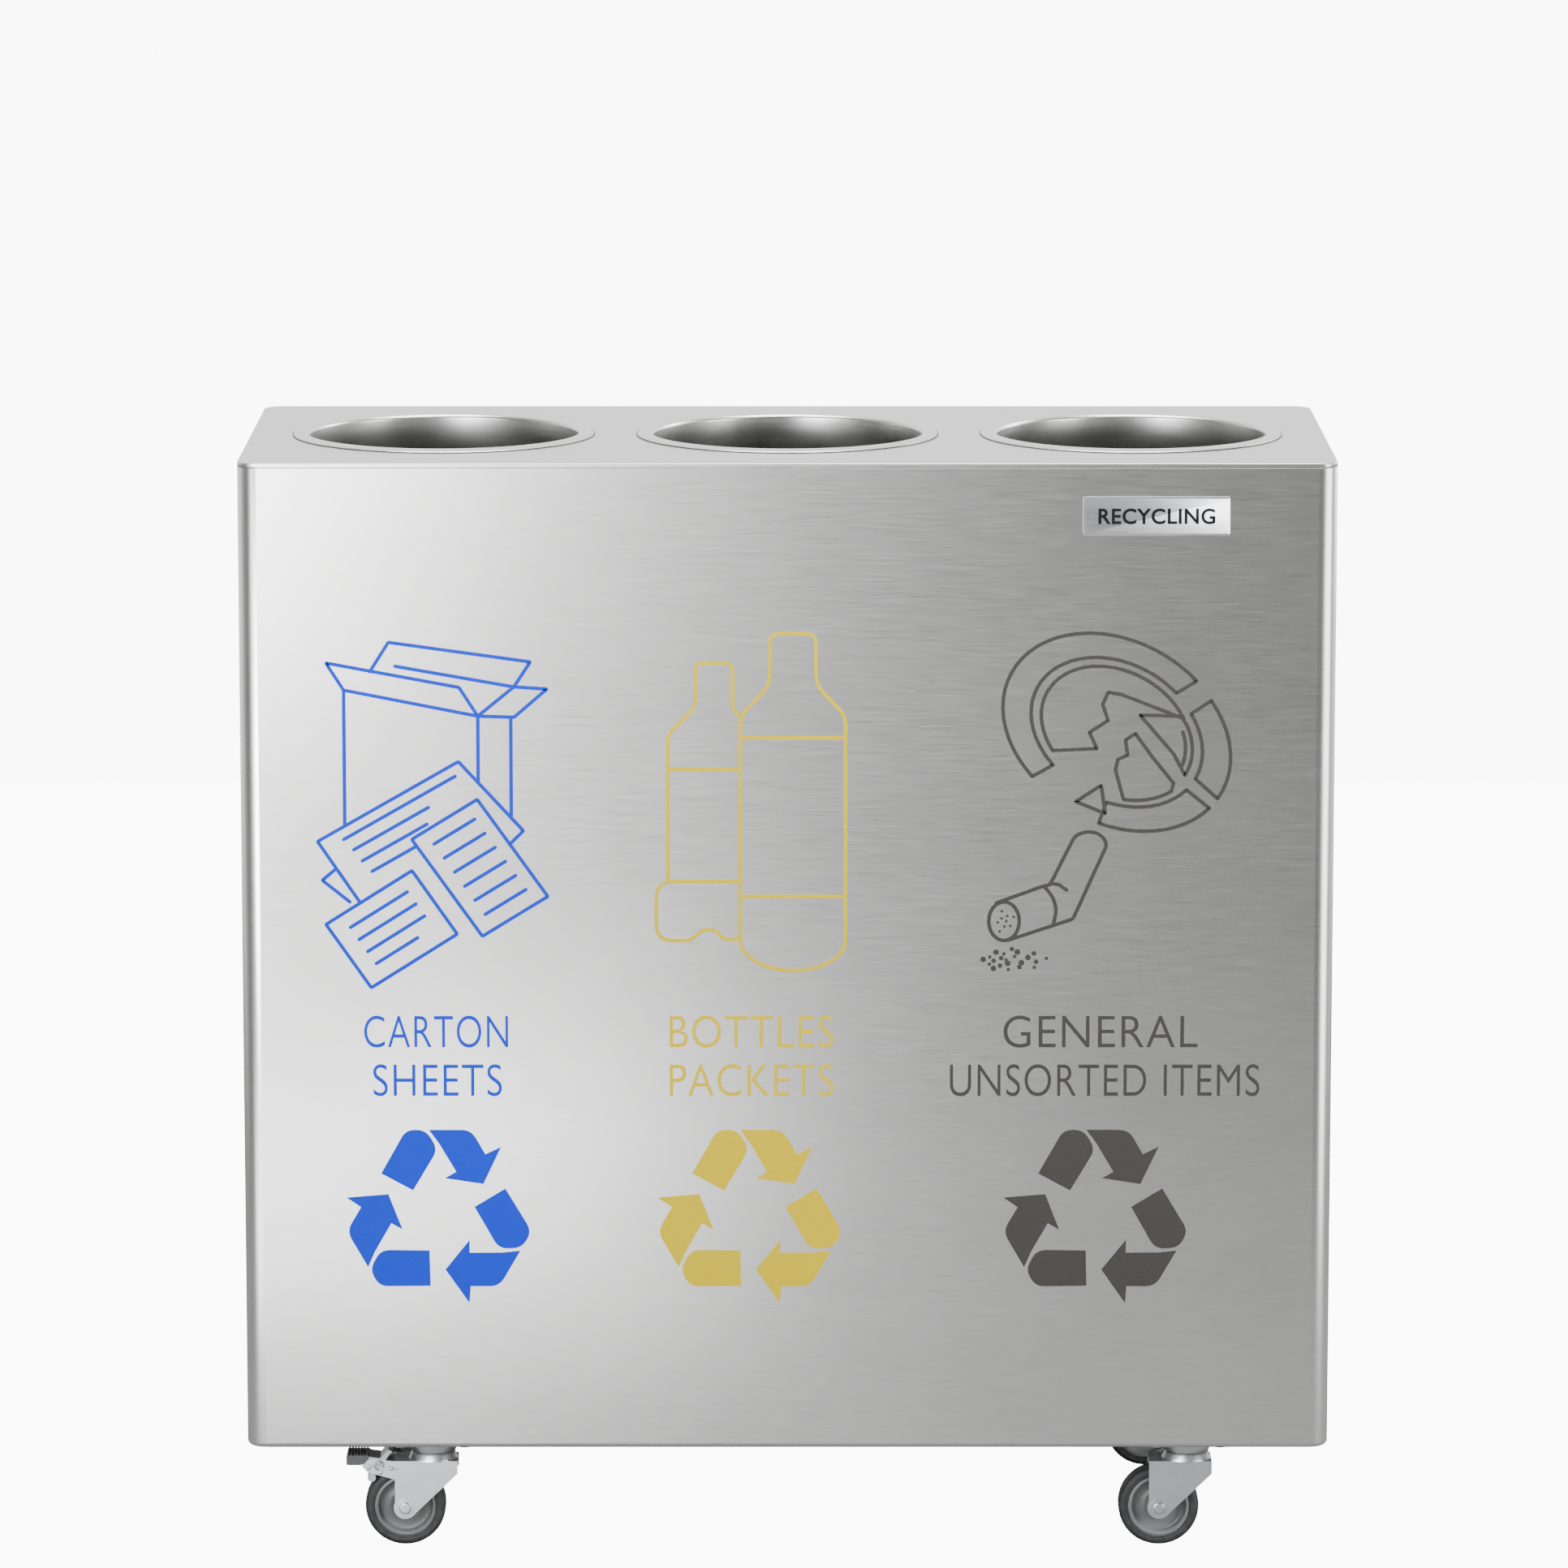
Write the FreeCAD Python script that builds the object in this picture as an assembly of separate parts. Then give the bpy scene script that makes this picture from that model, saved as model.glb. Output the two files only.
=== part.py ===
"""Recycling bin station: a stainless cabinet on four swivel castors.

Waste drops through three flanged chutes in the top into three lift-out bins,
which come out through three hinged doors at the rear. Millimetres, +Z up,
front face towards -Y. The origin is the centre of the overall box on the floor.
"""
import FreeCAD
import Part

import math
import os

V = FreeCAD.Vector
X_AXIS, Y_AXIS, Z_AXIS = V(1, 0, 0), V(0, 1, 0), V(0, 0, 1)

# ---- Driving dimensions -------------------------------------------------
# Cabinet
body_width = 1000.0
body_depth = 420.0
body_height = 918.0
sheet = 1.5
corner_r = 18.0
bottom_bend_r = 5.0
bottom_return = 15.0
rear_return = 22.0
seam = 0.4

# Top panel
lid_edge = 4.0
lid_bend_r = 1.2

# Chutes
chute_pitch = 320.0
chute_bore_r = 125.0
collar_flange = 15.0
collar_rise = 3.0
collar_edge = 1.2
collar_mouth_r = 4.5
collar_depth = 60.0
collar_slack = 1.5
collar_dome = 0.5
ring_width = 12.0
ring_t = 2.0

# Base plate
base_t = 2.0
base_joggle = 6.0
base_upturn = 20.0
base_slack = 0.5

# Rear frame and its three door openings
mullion = 24.0
end_stile = 8.0
bottom_rail = 32.0
top_rail = 50.0
stop_lip = 8.0

# Partitions
partition_flange = 16.0

# Doors
door_gap = 2.5
door_stop_gap = 4.5
door_t = 18.0
door_pan_slack = 0.4
door_pan_lip = 12.0
buffer_r = 3.5
buffer_slack = 0.3

# Hinges
hinge_length = 72.0
hinge_inset = 110.0
hinge_leaf_t = 2.0
hinge_leaf_door = 26.0
hinge_leaf_frame = 10.0
knuckle_r = 4.5
hinge_pin_r = 2.5
hinge_fit = 0.05
hinge_end_play = 0.4
hinge_cap_t = 2.0
hinge_cap_step = 0.5
hinge_lap = 1.0
knuckle_lift = 0.3
knuckle_cutaway = 0.6

# Quarter-turn latches
latch_inset = 34.0
latch_flange_r = 14.0
latch_flange_t = 3.0
latch_barrel_r = 9.0
latch_nut_r = 12.5
latch_nut_t = 4.0
spindle_r = 5.0
spindle_fit = 0.06
knob_length = 62.0
knob_width = 13.0
knob_t = 16.0
knob_neck = 6.0
knob_neck_r = 8.0
knob_play = 0.3
cam_length = 36.0
cam_width = 14.0
cam_t = 3.0
cam_gap = 1.0
cam_play = 0.5

# Bins
bin_width = 270.0
bin_length = 340.0
bin_height = 660.0
bin_taper = 15.0
bin_wall = 3.0
bin_rim = 9.0
bin_rim_t = 4.0
bin_corner_r = 34.0
bin_foot = 12.0
bail_wire_r = 3.0
bail_corner_r = 26.0
bail_slack = 0.4
bail_fit = 0.08
bail_tip = 1.0
lug_t = 4.0
lug_r = 7.5
bag_ring_t = 2.5
bag_ring_height = 7.0
bag_ring_drop = 30.0
bag_ring_slack = 0.4

# Nameplate
name_width = 134.0
name_height = 36.0
name_t = 1.2
name_corner_r = 2.5
name_right_margin = 98.0
name_drop = 30.0

# Castors
castor_left_x = -330.0
castor_right_x = 372.0
castor_front_inset = 62.0
castor_rear_inset = 68.0
castor_trail = 26.0
castor_plate_x = 84.0
castor_plate_y = 66.0
castor_plate_t = 3.0
castor_plate_corner = 6.0
castor_head_t = 13.2
castor_head_taper = 2.0
castor_hole_x = 60.0
castor_hole_y = 44.0
castor_bolt_r = 4.0
bolt_head_r = 7.0
bolt_head_t = 5.0
wheel_r = 37.5
wheel_width = 25.0
rim_r = 29.0
rim_recess_r = 25.0
rim_width = 23.0
web_t = 8.0
hub_r = 13.0
hub_gap = 0.5
hub_chamfer = 1.0
web_chamfer = 1.5
tyre_shoulder = 5.0
tyre_seat = 0.05
leg_t = 2.5
leg_gap = 3.0
leg_end_r = 10.7
leg_front = 9.4
leg_rear_angle = -35.0
leg_shoulder = 9.0
crown_t = 3.0
crown_clear = 4.0
crown_reach = 23.0
race_r = 23.0
race_t = 7.0
race_gap = 0.8
race_taper = 3.0
head_r = 25.0
king_pin_r = 6.0
king_pin_fit = 0.05
king_pin_head_r = 9.0
king_pin_head_t = 5.0
king_pin_play = 0.2
axle_r = 4.0
axle_fit = 0.05
axle_head_r = 5.5
axle_head_t = 3.0

# Castor brakes
brake_reach = 40.0
brake_boss_r = 5.5
brake_boss_gap = 4.5
brake_at = 120.35
brake_pin_r = 2.5
brake_pin_tip = 1.0
brake_fit = 0.08
nose_top = 5.0
nose_slope = 6.0
nose_low = 7.0
nose_chamfer = 5.0
nose_root = 14.0
shoe_r = 4.0
shoe_at = 138.0
shoe_gap = 0.5
link_half = 3.5
pedal_side_gap = 0.6
pad_length = 20.0
pad_t = 6.0
pad_tip = 54.0
pad_rise = 7.0
pad_slope = 2.0
arm_root = 4.0
arm_t = 3.5
toe_reach = 12.0
toe_rise = 12.0

# ---- Levels and places that follow from them ----------------------------
frame_depth = door_t + door_stop_gap + sheet
crown_low = 2 * wheel_r + crown_clear
race_low = crown_low + crown_t
race_high = race_low + race_t
head_low = race_high + race_gap
plate_low = head_low + castor_head_t
castor_height = plate_low + castor_plate_t
leg_in = wheel_width / 2 + leg_gap
leg_out = leg_in + leg_t
handle_reach = latch_flange_t + knob_neck + knob_t
overall_depth = name_t + body_depth + handle_reach
front_y = name_t - overall_depth / 2
rear_y = front_y + body_depth
mid_y = (front_y + rear_y) / 2
half_w = body_width / 2
base_z = castor_height
top_z = base_z + body_height
shell_top = top_z - lid_edge - seam
chute_xs = [-chute_pitch, 0.0, chute_pitch]
divider_xs = [-chute_pitch / 2, chute_pitch / 2]
frame_half = half_w - rear_return - seam
opening_edges = [
    (-frame_half + end_stile, divider_xs[0] - mullion / 2),
    (divider_xs[0] + mullion / 2, divider_xs[1] - mullion / 2),
    (divider_xs[1] + mullion / 2, frame_half - end_stile),
]
opening_low = base_z + bottom_rail
opening_high = top_z - top_rail
floor_z = base_z + base_t
bin_top = floor_z + bin_height
hinge_y = rear_y + knuckle_r + knuckle_lift
castor_ys = [front_y + castor_front_inset, rear_y - castor_rear_inset]
castors = [
    ("front_left", castor_left_x, castor_ys[0], True),
    ("front_right", castor_right_x, castor_ys[0], False),
    ("rear_left", castor_left_x, castor_ys[1], True),
    ("rear_right", castor_right_x, castor_ys[1], False),
]
door_inner_y = rear_y - door_t
stop_y = rear_y - frame_depth


# ---- Small builders ------------------------------------------------------
def block(x0, x1, y0, y1, z0, z1):
    return Part.makeBox(x1 - x0, y1 - y0, z1 - z0, V(x0, y0, z0))


def rod(radius, start, end):
    run = end - start
    return Part.makeCylinder(radius, run.Length, start, run)


def rounded_prism(width, depth, height, radius, centre_x, centre_y, z):
    """An upright prism whose plan is a rectangle with round corners."""
    x, y = width / 2 - radius, depth / 2 - radius
    slab = block(centre_x - x, centre_x + x, centre_y - depth / 2, centre_y + depth / 2, z, z + height)
    slab = slab.fuse(
        block(centre_x - width / 2, centre_x + width / 2, centre_y - y, centre_y + y, z, z + height)
    )
    for sx in (-1, 1):
        for sy in (-1, 1):
            foot = V(centre_x + sx * x, centre_y + sy * y, z)
            slab = slab.fuse(Part.makeCylinder(radius, height, foot))
    return slab.removeSplitter()


def low_edges(shape, z):
    """Edges that lie flat at height z."""
    found = []
    for edge in shape.Edges:
        if abs(edge.BoundBox.ZMin - z) < 1e-4 and abs(edge.BoundBox.ZMax - z) < 1e-4:
            found.append(edge)
    return found


def turned(profile, centre, axis):
    """Revolve (radius, along) points a full turn about an axis through centre."""
    side = X_AXIS if abs(axis.dot(X_AXIS)) < 0.5 else Y_AXIS
    points = [centre + side * r + axis * a for r, a in profile]
    face = Part.Face(Part.makePolygon(points + [points[0]]))
    return face.revolve(centre, axis, 360)


def plate_outline(points, y, thickness):
    """Extrude an outline of (x, z) points and (x, z, mid_x, mid_z) arcs along +Y."""
    edges = []
    count = len(points)
    for i in range(count):
        here, there = points[i], points[(i + 1) % count]
        start, end = V(here[0], y, here[1]), V(there[0], y, there[1])
        if len(there) == 4:
            edges.append(Part.Arc(start, V(there[2], y, there[3]), end).toShape())
        else:
            edges.append(Part.LineSegment(start, end).toShape())
    return Part.Face(Part.Wire(edges)).extrude(V(0, thickness, 0))


nodes = {}


def keep(name, *solids):
    nodes[name] = list(solids)


# ---- Cabinet -------------------------------------------------------------
def make_body_shell():
    height = shell_top - base_z
    outer = rounded_prism(body_width, body_depth, height, corner_r, 0, mid_y, base_z)
    outer = outer.makeFillet(bottom_bend_r, low_edges(outer, base_z))
    inner = rounded_prism(
        body_width - 2 * sheet, body_depth - 2 * sheet, height, corner_r - sheet, 0, mid_y, base_z + sheet
    )
    inner = inner.makeFillet(bottom_bend_r - sheet, low_edges(inner, base_z + sheet))
    shell = outer.cut(inner)
    edge = bottom_return + sheet
    shell = shell.cut(
        block(-half_w + edge, half_w - edge, front_y + edge, rear_y - edge, base_z - 1, base_z + height)
    )
    door_side = half_w - rear_return
    return shell.cut(
        block(-door_side, door_side, rear_y - edge - 1, rear_y + 1, base_z - 1, top_z)
    )


def make_top_panel():
    panel = rounded_prism(body_width, body_depth, lid_edge, corner_r, 0, mid_y, top_z - lid_edge)
    panel = panel.makeFillet(lid_bend_r, low_edges(panel, top_z))
    pocket = rounded_prism(
        body_width - 2 * sheet, body_depth - 2 * sheet, lid_edge - sheet, corner_r - sheet,
        0, mid_y, top_z - lid_edge,
    )
    panel = panel.cut(pocket)
    hole_r = chute_bore_r + sheet + collar_slack
    for x in chute_xs:
        panel = panel.cut(Part.makeCylinder(hole_r, lid_edge + 2, V(x, mid_y, top_z - lid_edge - 1)))
    return panel


def make_base_plate():
    edge = bottom_return + sheet + base_slack
    x0, y0, y1 = half_w - edge, front_y + edge, rear_y - frame_depth - base_slack
    slab = block(-x0, x0, y0, y1, base_z, floor_z)
    x1, y2 = half_w - bottom_bend_r, front_y + bottom_bend_r
    plan_r, plan_y = corner_r - bottom_bend_r, (y1 + y2) / 2
    tray = rounded_prism(2 * x1, y1 - y2, base_t, plan_r, 0, plan_y, base_z + sheet)
    hole = block(
        -x0 + base_joggle, x0 - base_joggle, y0 + base_joggle, y1 - base_joggle, base_z, top_z
    )
    rim = rounded_prism(2 * x1, y1 - y2, base_upturn, plan_r, 0, plan_y, base_z + sheet)
    rim = rim.cut(
        rounded_prism(
            2 * (x1 - sheet), y1 - y2 - 2 * sheet, base_upturn, plan_r - sheet, 0, plan_y, base_z + sheet
        )
    )
    plate = slab.fuse(tray.cut(hole)).fuse(rim)
    for _, x, y, _ in castors:
        for hx, hy in hole_places(x, y):
            plate = plate.cut(Part.makeCylinder(castor_bolt_r, 10 * base_t, V(hx, hy, base_z - base_t)))
    return plate.removeSplitter()


def make_rear_frame():
    low, high = base_z + sheet + base_slack, shell_top
    plate = block(-frame_half, frame_half, rear_y - sheet, rear_y, low, high)
    for left, right in opening_edges:
        plate = plate.fuse(
            block(
                left - sheet, right + sheet, stop_y, rear_y,
                opening_low - sheet, opening_high + sheet,
            )
        )
    for left, right in opening_edges:
        plate = plate.cut(
            block(left, right, stop_y + sheet, rear_y + 1, opening_low, opening_high)
        )
        plate = plate.cut(
            block(
                left + stop_lip, right - stop_lip, stop_y - 1, rear_y,
                opening_low + stop_lip, opening_high - stop_lip,
            )
        )
    return plate.removeSplitter()


def make_partition(x):
    """Upright sheet that clears the base plate's raised edge, with three bent flanges."""
    low, high = floor_z, top_z - sheet
    clear_z = base_z + sheet + base_upturn + base_slack
    front = front_y + sheet
    foot_edge = bottom_return + sheet + 2 * base_slack + base_joggle
    foot_front, foot_rear = front_y + foot_edge, stop_y - 2 * base_slack - base_joggle
    x0, x1, x2 = x - sheet / 2, x + sheet / 2, x + partition_flange
    head_front = mid_y + chute_bore_r + ring_width + sheet
    wall = block(x0, x1, front, stop_y, clear_z, high)
    skirt = block(x0, x1, foot_front, foot_rear, low, clear_z)
    foot = block(x0, x2, foot_front, foot_rear, low, low + sheet)
    head = block(x0, x2, head_front, stop_y, high - sheet, high)
    face = block(x0, x2, front, front + sheet, clear_z, shell_top - 2 * sheet)
    return wall.fuse(skirt).fuse(foot).fuse(head).fuse(face).removeSplitter()


def make_collar(x):
    """Flanged collar: domed flange on the top panel, rolled mouth, plain tube below."""
    r0, r1 = chute_bore_r, chute_bore_r + sheet
    flange_r = r1 + collar_flange - sheet
    c = V(x, mid_y, top_z)

    def at(r, z):
        return c + V(r, 0, z)

    lip_r = r0 + collar_mouth_r
    slope_z = (collar_rise + collar_edge) / 2 + collar_dome
    mid = math.sqrt(0.5)
    edges = [
        Part.LineSegment(at(flange_r, 0), at(flange_r, collar_edge)).toShape(),
        Part.Arc(
            at(flange_r, collar_edge), at((flange_r + lip_r) / 2, slope_z), at(lip_r, collar_rise)
        ).toShape(),
        Part.Arc(
            at(lip_r, collar_rise),
            at(lip_r - collar_mouth_r * mid, collar_rise - collar_mouth_r * (1 - mid)),
            at(r0, collar_rise - collar_mouth_r),
        ).toShape(),
        Part.LineSegment(at(r0, collar_rise - collar_mouth_r), at(r0, -collar_depth)).toShape(),
        Part.LineSegment(at(r0, -collar_depth), at(r1, -collar_depth)).toShape(),
        Part.LineSegment(at(r1, -collar_depth), at(r1, 0)).toShape(),
        Part.LineSegment(at(r1, 0), at(flange_r, 0)).toShape(),
    ]
    return Part.Face(Part.Wire(edges)).revolve(c, Z_AXIS, 360)


def make_collar_ring(x):
    r = chute_bore_r + sheet
    z = top_z - sheet - ring_t
    ring = Part.makeCylinder(r + ring_width, ring_t, V(x, mid_y, z))
    return ring.cut(Part.makeCylinder(r, ring_t, V(x, mid_y, z)))


def make_nameplate():
    x1 = half_w - name_right_margin
    z1 = top_z - name_drop
    plate = Part.makeBox(name_width, name_t, name_height, V(x1 - name_width, front_y - name_t, z1 - name_height))
    posts = [e for e in plate.Edges if e.BoundBox.YLength > name_t / 2]
    return plate.makeFillet(name_corner_r, posts)


# ---- Doors ---------------------------------------------------------------
def door_span(k):
    left, right = opening_edges[k]
    return left + door_gap, right - door_gap, opening_low + door_gap, opening_high - door_gap


def hinge_axis_x(k):
    return opening_edges[k][0] + door_gap / 2


def hinge_lows():
    return [
        opening_low + hinge_inset,
        opening_high - hinge_inset - hinge_length,
    ]


def latch_place(k):
    _, right, low, high = door_span(k)
    return right - latch_inset, (low + high) / 2


def make_door_skin(k):
    x0, x1, z0, z1 = door_span(k)
    pan = block(x0, x1, door_inner_y, rear_y, z0, z1)
    pan = pan.cut(block(x0 + sheet, x1 - sheet, door_inner_y - 1, rear_y - sheet, z0 + sheet, z1 - sheet))
    lx, lz = latch_place(k)
    return pan.cut(rod(latch_barrel_r, V(lx, rear_y - 5 * sheet, lz), V(lx, rear_y + 1, lz)))


def make_door_pan(k):
    x0, x1, z0, z1 = door_span(k)
    edge = sheet + door_pan_slack
    x0, x1, z0, z1 = x0 + edge, x1 - edge, z0 + edge, z1 - edge
    back = rear_y - sheet
    pan = block(x0, x1, door_inner_y, back, z0, z1)
    lip = door_pan_lip
    pan = pan.cut(block(x0 + sheet, x1 - sheet, door_inner_y + sheet, back + 1, z0 + sheet, z1 - sheet))
    for low, high in ((z0, z0 + lip), (z1 - lip, z1)):
        pan = pan.fuse(block(x0, x1, back - sheet, back, low, high))
    for left, right in ((x0, x0 + lip), (x1 - lip, x1)):
        pan = pan.fuse(block(left, right, back - sheet, back, z0, z1))
    lx, lz = latch_place(k)
    return pan.cut(rod(latch_barrel_r, V(lx, door_inner_y - 1, lz), V(lx, back + 1, lz))).removeSplitter()


def make_hinge_leaf(k, low, side):
    """Leaf on the door (side 1, middle knuckle) or on the frame (side -1, outer knuckles)."""
    x = hinge_axis_x(k)
    third = hinge_length / 3
    play = hinge_end_play / 2
    width = hinge_leaf_door if side > 0 else hinge_leaf_frame
    near = door_gap / 2
    cutaway = knuckle_r + knuckle_cutaway
    x0, x1 = sorted((x + side * cutaway, x + side * (near + width)))
    leaf = block(x0, x1, rear_y, rear_y + hinge_leaf_t, low, low + hinge_length)
    spans = [(third + play, 2 * third - play)]
    bore_r = hinge_pin_r + hinge_fit
    if side < 0:
        spans = [(0, third - play), (2 * third + play, hinge_length)]
        bore_r = hinge_pin_r
    for a, b in spans:
        start, end = V(x, hinge_y, low + a), V(x, hinge_y, low + b)
        s0, s1 = sorted((x + side * near, x + side * (cutaway + hinge_lap)))
        strap = block(s0, s1, rear_y, rear_y + hinge_leaf_t, low + a, low + b)
        leaf = leaf.fuse(rod(knuckle_r, start, end)).fuse(strap).cut(rod(bore_r, start, end))
    return leaf.removeSplitter()


def make_hinge_pin(k, low):
    x = hinge_axis_x(k)
    pin = rod(hinge_pin_r, V(x, hinge_y, low), V(x, hinge_y, low + hinge_length))
    for z, way in ((low, -1), (low + hinge_length, 1)):
        cap = rod(knuckle_r - hinge_cap_step, V(x, hinge_y, z), V(x, hinge_y, z + way * hinge_cap_t))
        pin = pin.fuse(cap)
    return pin.removeSplitter()


def cam_face_y():
    """Near face of the cam tongue, which closes behind the stop lip."""
    return stop_y - cam_gap


def make_latch_housing(k):
    lx, lz = latch_place(k)
    flange = rod(latch_flange_r, V(lx, rear_y, lz), V(lx, rear_y + latch_flange_t, lz))
    end_y = cam_face_y() + cam_play
    barrel = rod(latch_barrel_r, V(lx, end_y, lz), V(lx, rear_y, lz))
    nut = rod(latch_nut_r, V(lx, door_inner_y - latch_nut_t, lz), V(lx, door_inner_y, lz))
    bore = rod(spindle_r + spindle_fit, V(lx, end_y - 1, lz), V(lx, rear_y + latch_flange_t + 1, lz))
    return flange.fuse(barrel).fuse(nut).cut(bore).removeSplitter()


def make_latch_knob(k):
    lx, lz = latch_place(k)
    face = rear_y + latch_flange_t
    start = cam_face_y() - cam_t
    neck = rod(knob_neck_r, V(lx, face + knob_play, lz), V(lx, face + knob_neck + 1, lz))
    wing = block(
        lx - knob_width / 2, lx + knob_width / 2, face + knob_neck, face + knob_neck + knob_t,
        lz - knob_length / 2, lz + knob_length / 2,
    )
    ends = [e for e in wing.Edges if e.BoundBox.XLength > knob_width / 2]
    wing = wing.makeFillet(knob_width / 3, ends)
    spindle = rod(spindle_r, V(lx, start, lz), V(lx, face + knob_neck + 1, lz))
    return neck.fuse(wing).fuse(spindle).removeSplitter()


def make_cam(k):
    """Tongue on the inner end of the spindle, hanging down while the door is unlatched."""
    lx, lz = latch_place(k)
    high_y = cam_face_y()
    plate = block(
        lx - cam_width / 2, lx + cam_width / 2, high_y - cam_t, high_y, lz - cam_length, lz
    )
    boss = rod(cam_width / 2, V(lx, high_y - cam_t, lz), V(lx, high_y, lz))
    hole = rod(spindle_r, V(lx, high_y - cam_t - 1, lz), V(lx, high_y + 1, lz))
    return plate.fuse(boss).cut(hole).removeSplitter()


def make_buffers():
    """Rubber buffers on the stop lips, two on the latch side of each opening."""
    made = []
    for _, right in opening_edges:
        for z in (opening_low + hinge_inset, opening_high - hinge_inset):
            x = right - stop_lip / 2
            made.append(
                rod(buffer_r, V(x, stop_y + sheet, z), V(x, door_inner_y - buffer_slack, z))
            )
    return made


# ---- Bins ----------------------------------------------------------------
def tapered_block(x, width_low, length_low, width_high, length_high, radius, low, high):
    wires = []
    for z, w, l in ((low, width_low, length_low), (high, width_high, length_high)):
        slab = rounded_prism(w, l, 1, radius, x, mid_y, z)
        faces = [f for f in slab.Faces if f.BoundBox.ZLength < 1e-6 and abs(f.BoundBox.ZMin - z) < 1e-6]
        wires.append(faces[0].OuterWire)
    return Part.makeLoft(wires, True, True)


def make_bin(x):
    w1, l1 = bin_width - 2 * bin_rim, bin_length - 2 * bin_rim
    w0, l0 = w1 - 2 * bin_taper, l1 - 2 * bin_taper
    outer = tapered_block(x, w0, l0, w1, l1, bin_corner_r, floor_z, bin_top)
    t = 2 * bin_wall
    share = bin_foot / bin_height
    wf, lf = w0 + 2 * bin_taper * share, l0 + 2 * bin_taper * share
    inner = tapered_block(
        x, wf - t, lf - t, w1 - t, l1 - t, bin_corner_r - bin_wall, floor_z + bin_foot + bin_wall, bin_top
    )
    under = tapered_block(
        x, w0 - t, l0 - t, wf - t, lf - t, bin_corner_r - bin_wall, floor_z, floor_z + bin_foot
    )
    rim = rounded_prism(bin_width, bin_length, bin_rim_t, bin_corner_r + bin_rim, x, mid_y, bin_top - bin_rim_t)
    rim = rim.cut(
        rounded_prism(
            w1 - bin_wall, l1 - bin_wall, bin_rim_t, bin_corner_r - bin_wall / 2, x, mid_y, bin_top - bin_rim_t
        )
    )
    bin_ = outer.cut(inner).cut(under).fuse(rim)
    pivot_z = bail_axis_z()
    for side in (-1, 1):
        wall = x + side * (bin_width / 2)
        x0, x1 = sorted((wall, wall - side * lug_t))
        ear = rod(lug_r, V(x0, mid_y, pivot_z), V(x1, mid_y, pivot_z))
        stem = block(x0, x1, mid_y - lug_r, mid_y + lug_r, bin_top - bin_rim_t, pivot_z)
        hole = rod(bail_wire_r + bail_fit, V(x0 - 1, mid_y, pivot_z), V(x1 + 1, mid_y, pivot_z))
        low = block(x0, x1, mid_y - lug_r, mid_y + lug_r, bin_top - 2 * lug_r, bin_top - bin_rim_t)
        bin_ = bin_.fuse(ear.fuse(stem).cut(low)).cut(hole)
    return bin_.removeSplitter()


def bail_axis_z():
    return bin_top + bail_wire_r + bail_slack


def make_bail(x):
    """Wire bail that lies on the rear half of the rim, its ends through the two lugs."""
    z = bail_axis_z()
    arm_x = bin_width / 2 - lug_t - bail_slack - bail_wire_r
    far_y = mid_y + bin_length / 2 - bin_rim
    r = bail_corner_r
    k = r * (1 - math.sqrt(0.5))

    def p(px, py):
        return V(x + px, py, z)

    edges = [
        Part.LineSegment(p(-arm_x, mid_y), p(-arm_x, far_y - r)).toShape(),
        Part.Arc(p(-arm_x, far_y - r), p(-arm_x + k, far_y - k), p(-arm_x + r, far_y)).toShape(),
        Part.LineSegment(p(-arm_x + r, far_y), p(arm_x - r, far_y)).toShape(),
        Part.Arc(p(arm_x - r, far_y), p(arm_x - k, far_y - k), p(arm_x, far_y - r)).toShape(),
        Part.LineSegment(p(arm_x, far_y - r), p(arm_x, mid_y)).toShape(),
    ]
    section = Part.Wire(Part.makeCircle(bail_wire_r, p(-arm_x, mid_y), Y_AXIS))
    bail = Part.Wire(edges).makePipeShell([section], True, False)
    tip = bin_width / 2 + bail_tip
    for side in (-1, 1):
        bail = bail.fuse(Part.makeSphere(bail_wire_r, p(side * arm_x, mid_y)))
        bail = bail.fuse(rod(bail_wire_r, p(side * arm_x, mid_y), p(side * tip, mid_y)))
    return bail.removeSplitter()


def make_bag_ring(x):
    """Flat steel band that clips a bag round the outside of the bin wall."""
    w1, l1 = bin_width - 2 * bin_rim, bin_length - 2 * bin_rim
    z = bin_top - bag_ring_drop
    grow = 2 * bag_ring_slack
    band = rounded_prism(
        w1 + grow + 2 * bag_ring_t, l1 + grow + 2 * bag_ring_t, bag_ring_height,
        bin_corner_r + bag_ring_slack + bag_ring_t, x, mid_y, z,
    )
    return band.cut(
        rounded_prism(w1 + grow, l1 + grow, bag_ring_height, bin_corner_r + bag_ring_slack, x, mid_y, z)
    )


# ---- Castors -------------------------------------------------------------
def hole_places(x, y):
    return [
        (x + sx * castor_hole_x / 2, y + sy * castor_hole_y / 2)
        for sx in (-1, 1)
        for sy in (-1, 1)
    ]


def make_castor_plate(x, y):
    plate = rounded_prism(castor_plate_x, castor_plate_y, castor_plate_t, castor_plate_corner, x, y, plate_low)
    head = Part.makeCone(race_r - castor_head_taper, head_r, castor_head_t, V(x, y, head_low))
    plate = plate.fuse(head)
    plate = plate.cut(Part.makeCylinder(king_pin_r, castor_height, V(x, y, 0)))
    for hx, hy in hole_places(x, y):
        plate = plate.cut(Part.makeCylinder(castor_bolt_r, 4 * castor_plate_t, V(hx, hy, plate_low - castor_plate_t)))
    return plate.removeSplitter()


def make_bolts(x, y):
    bolts = []
    for hx, hy in hole_places(x, y):
        shank = Part.makeCylinder(castor_bolt_r, castor_plate_t + base_t, V(hx, hy, plate_low))
        low_head = Part.makeCylinder(bolt_head_r, bolt_head_t, V(hx, hy, plate_low - bolt_head_t))
        nut = Part.makeCylinder(bolt_head_r, bolt_head_t, V(hx, hy, floor_z))
        bolts.append(shank.fuse(low_head).fuse(nut).removeSplitter())
    return bolts


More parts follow.
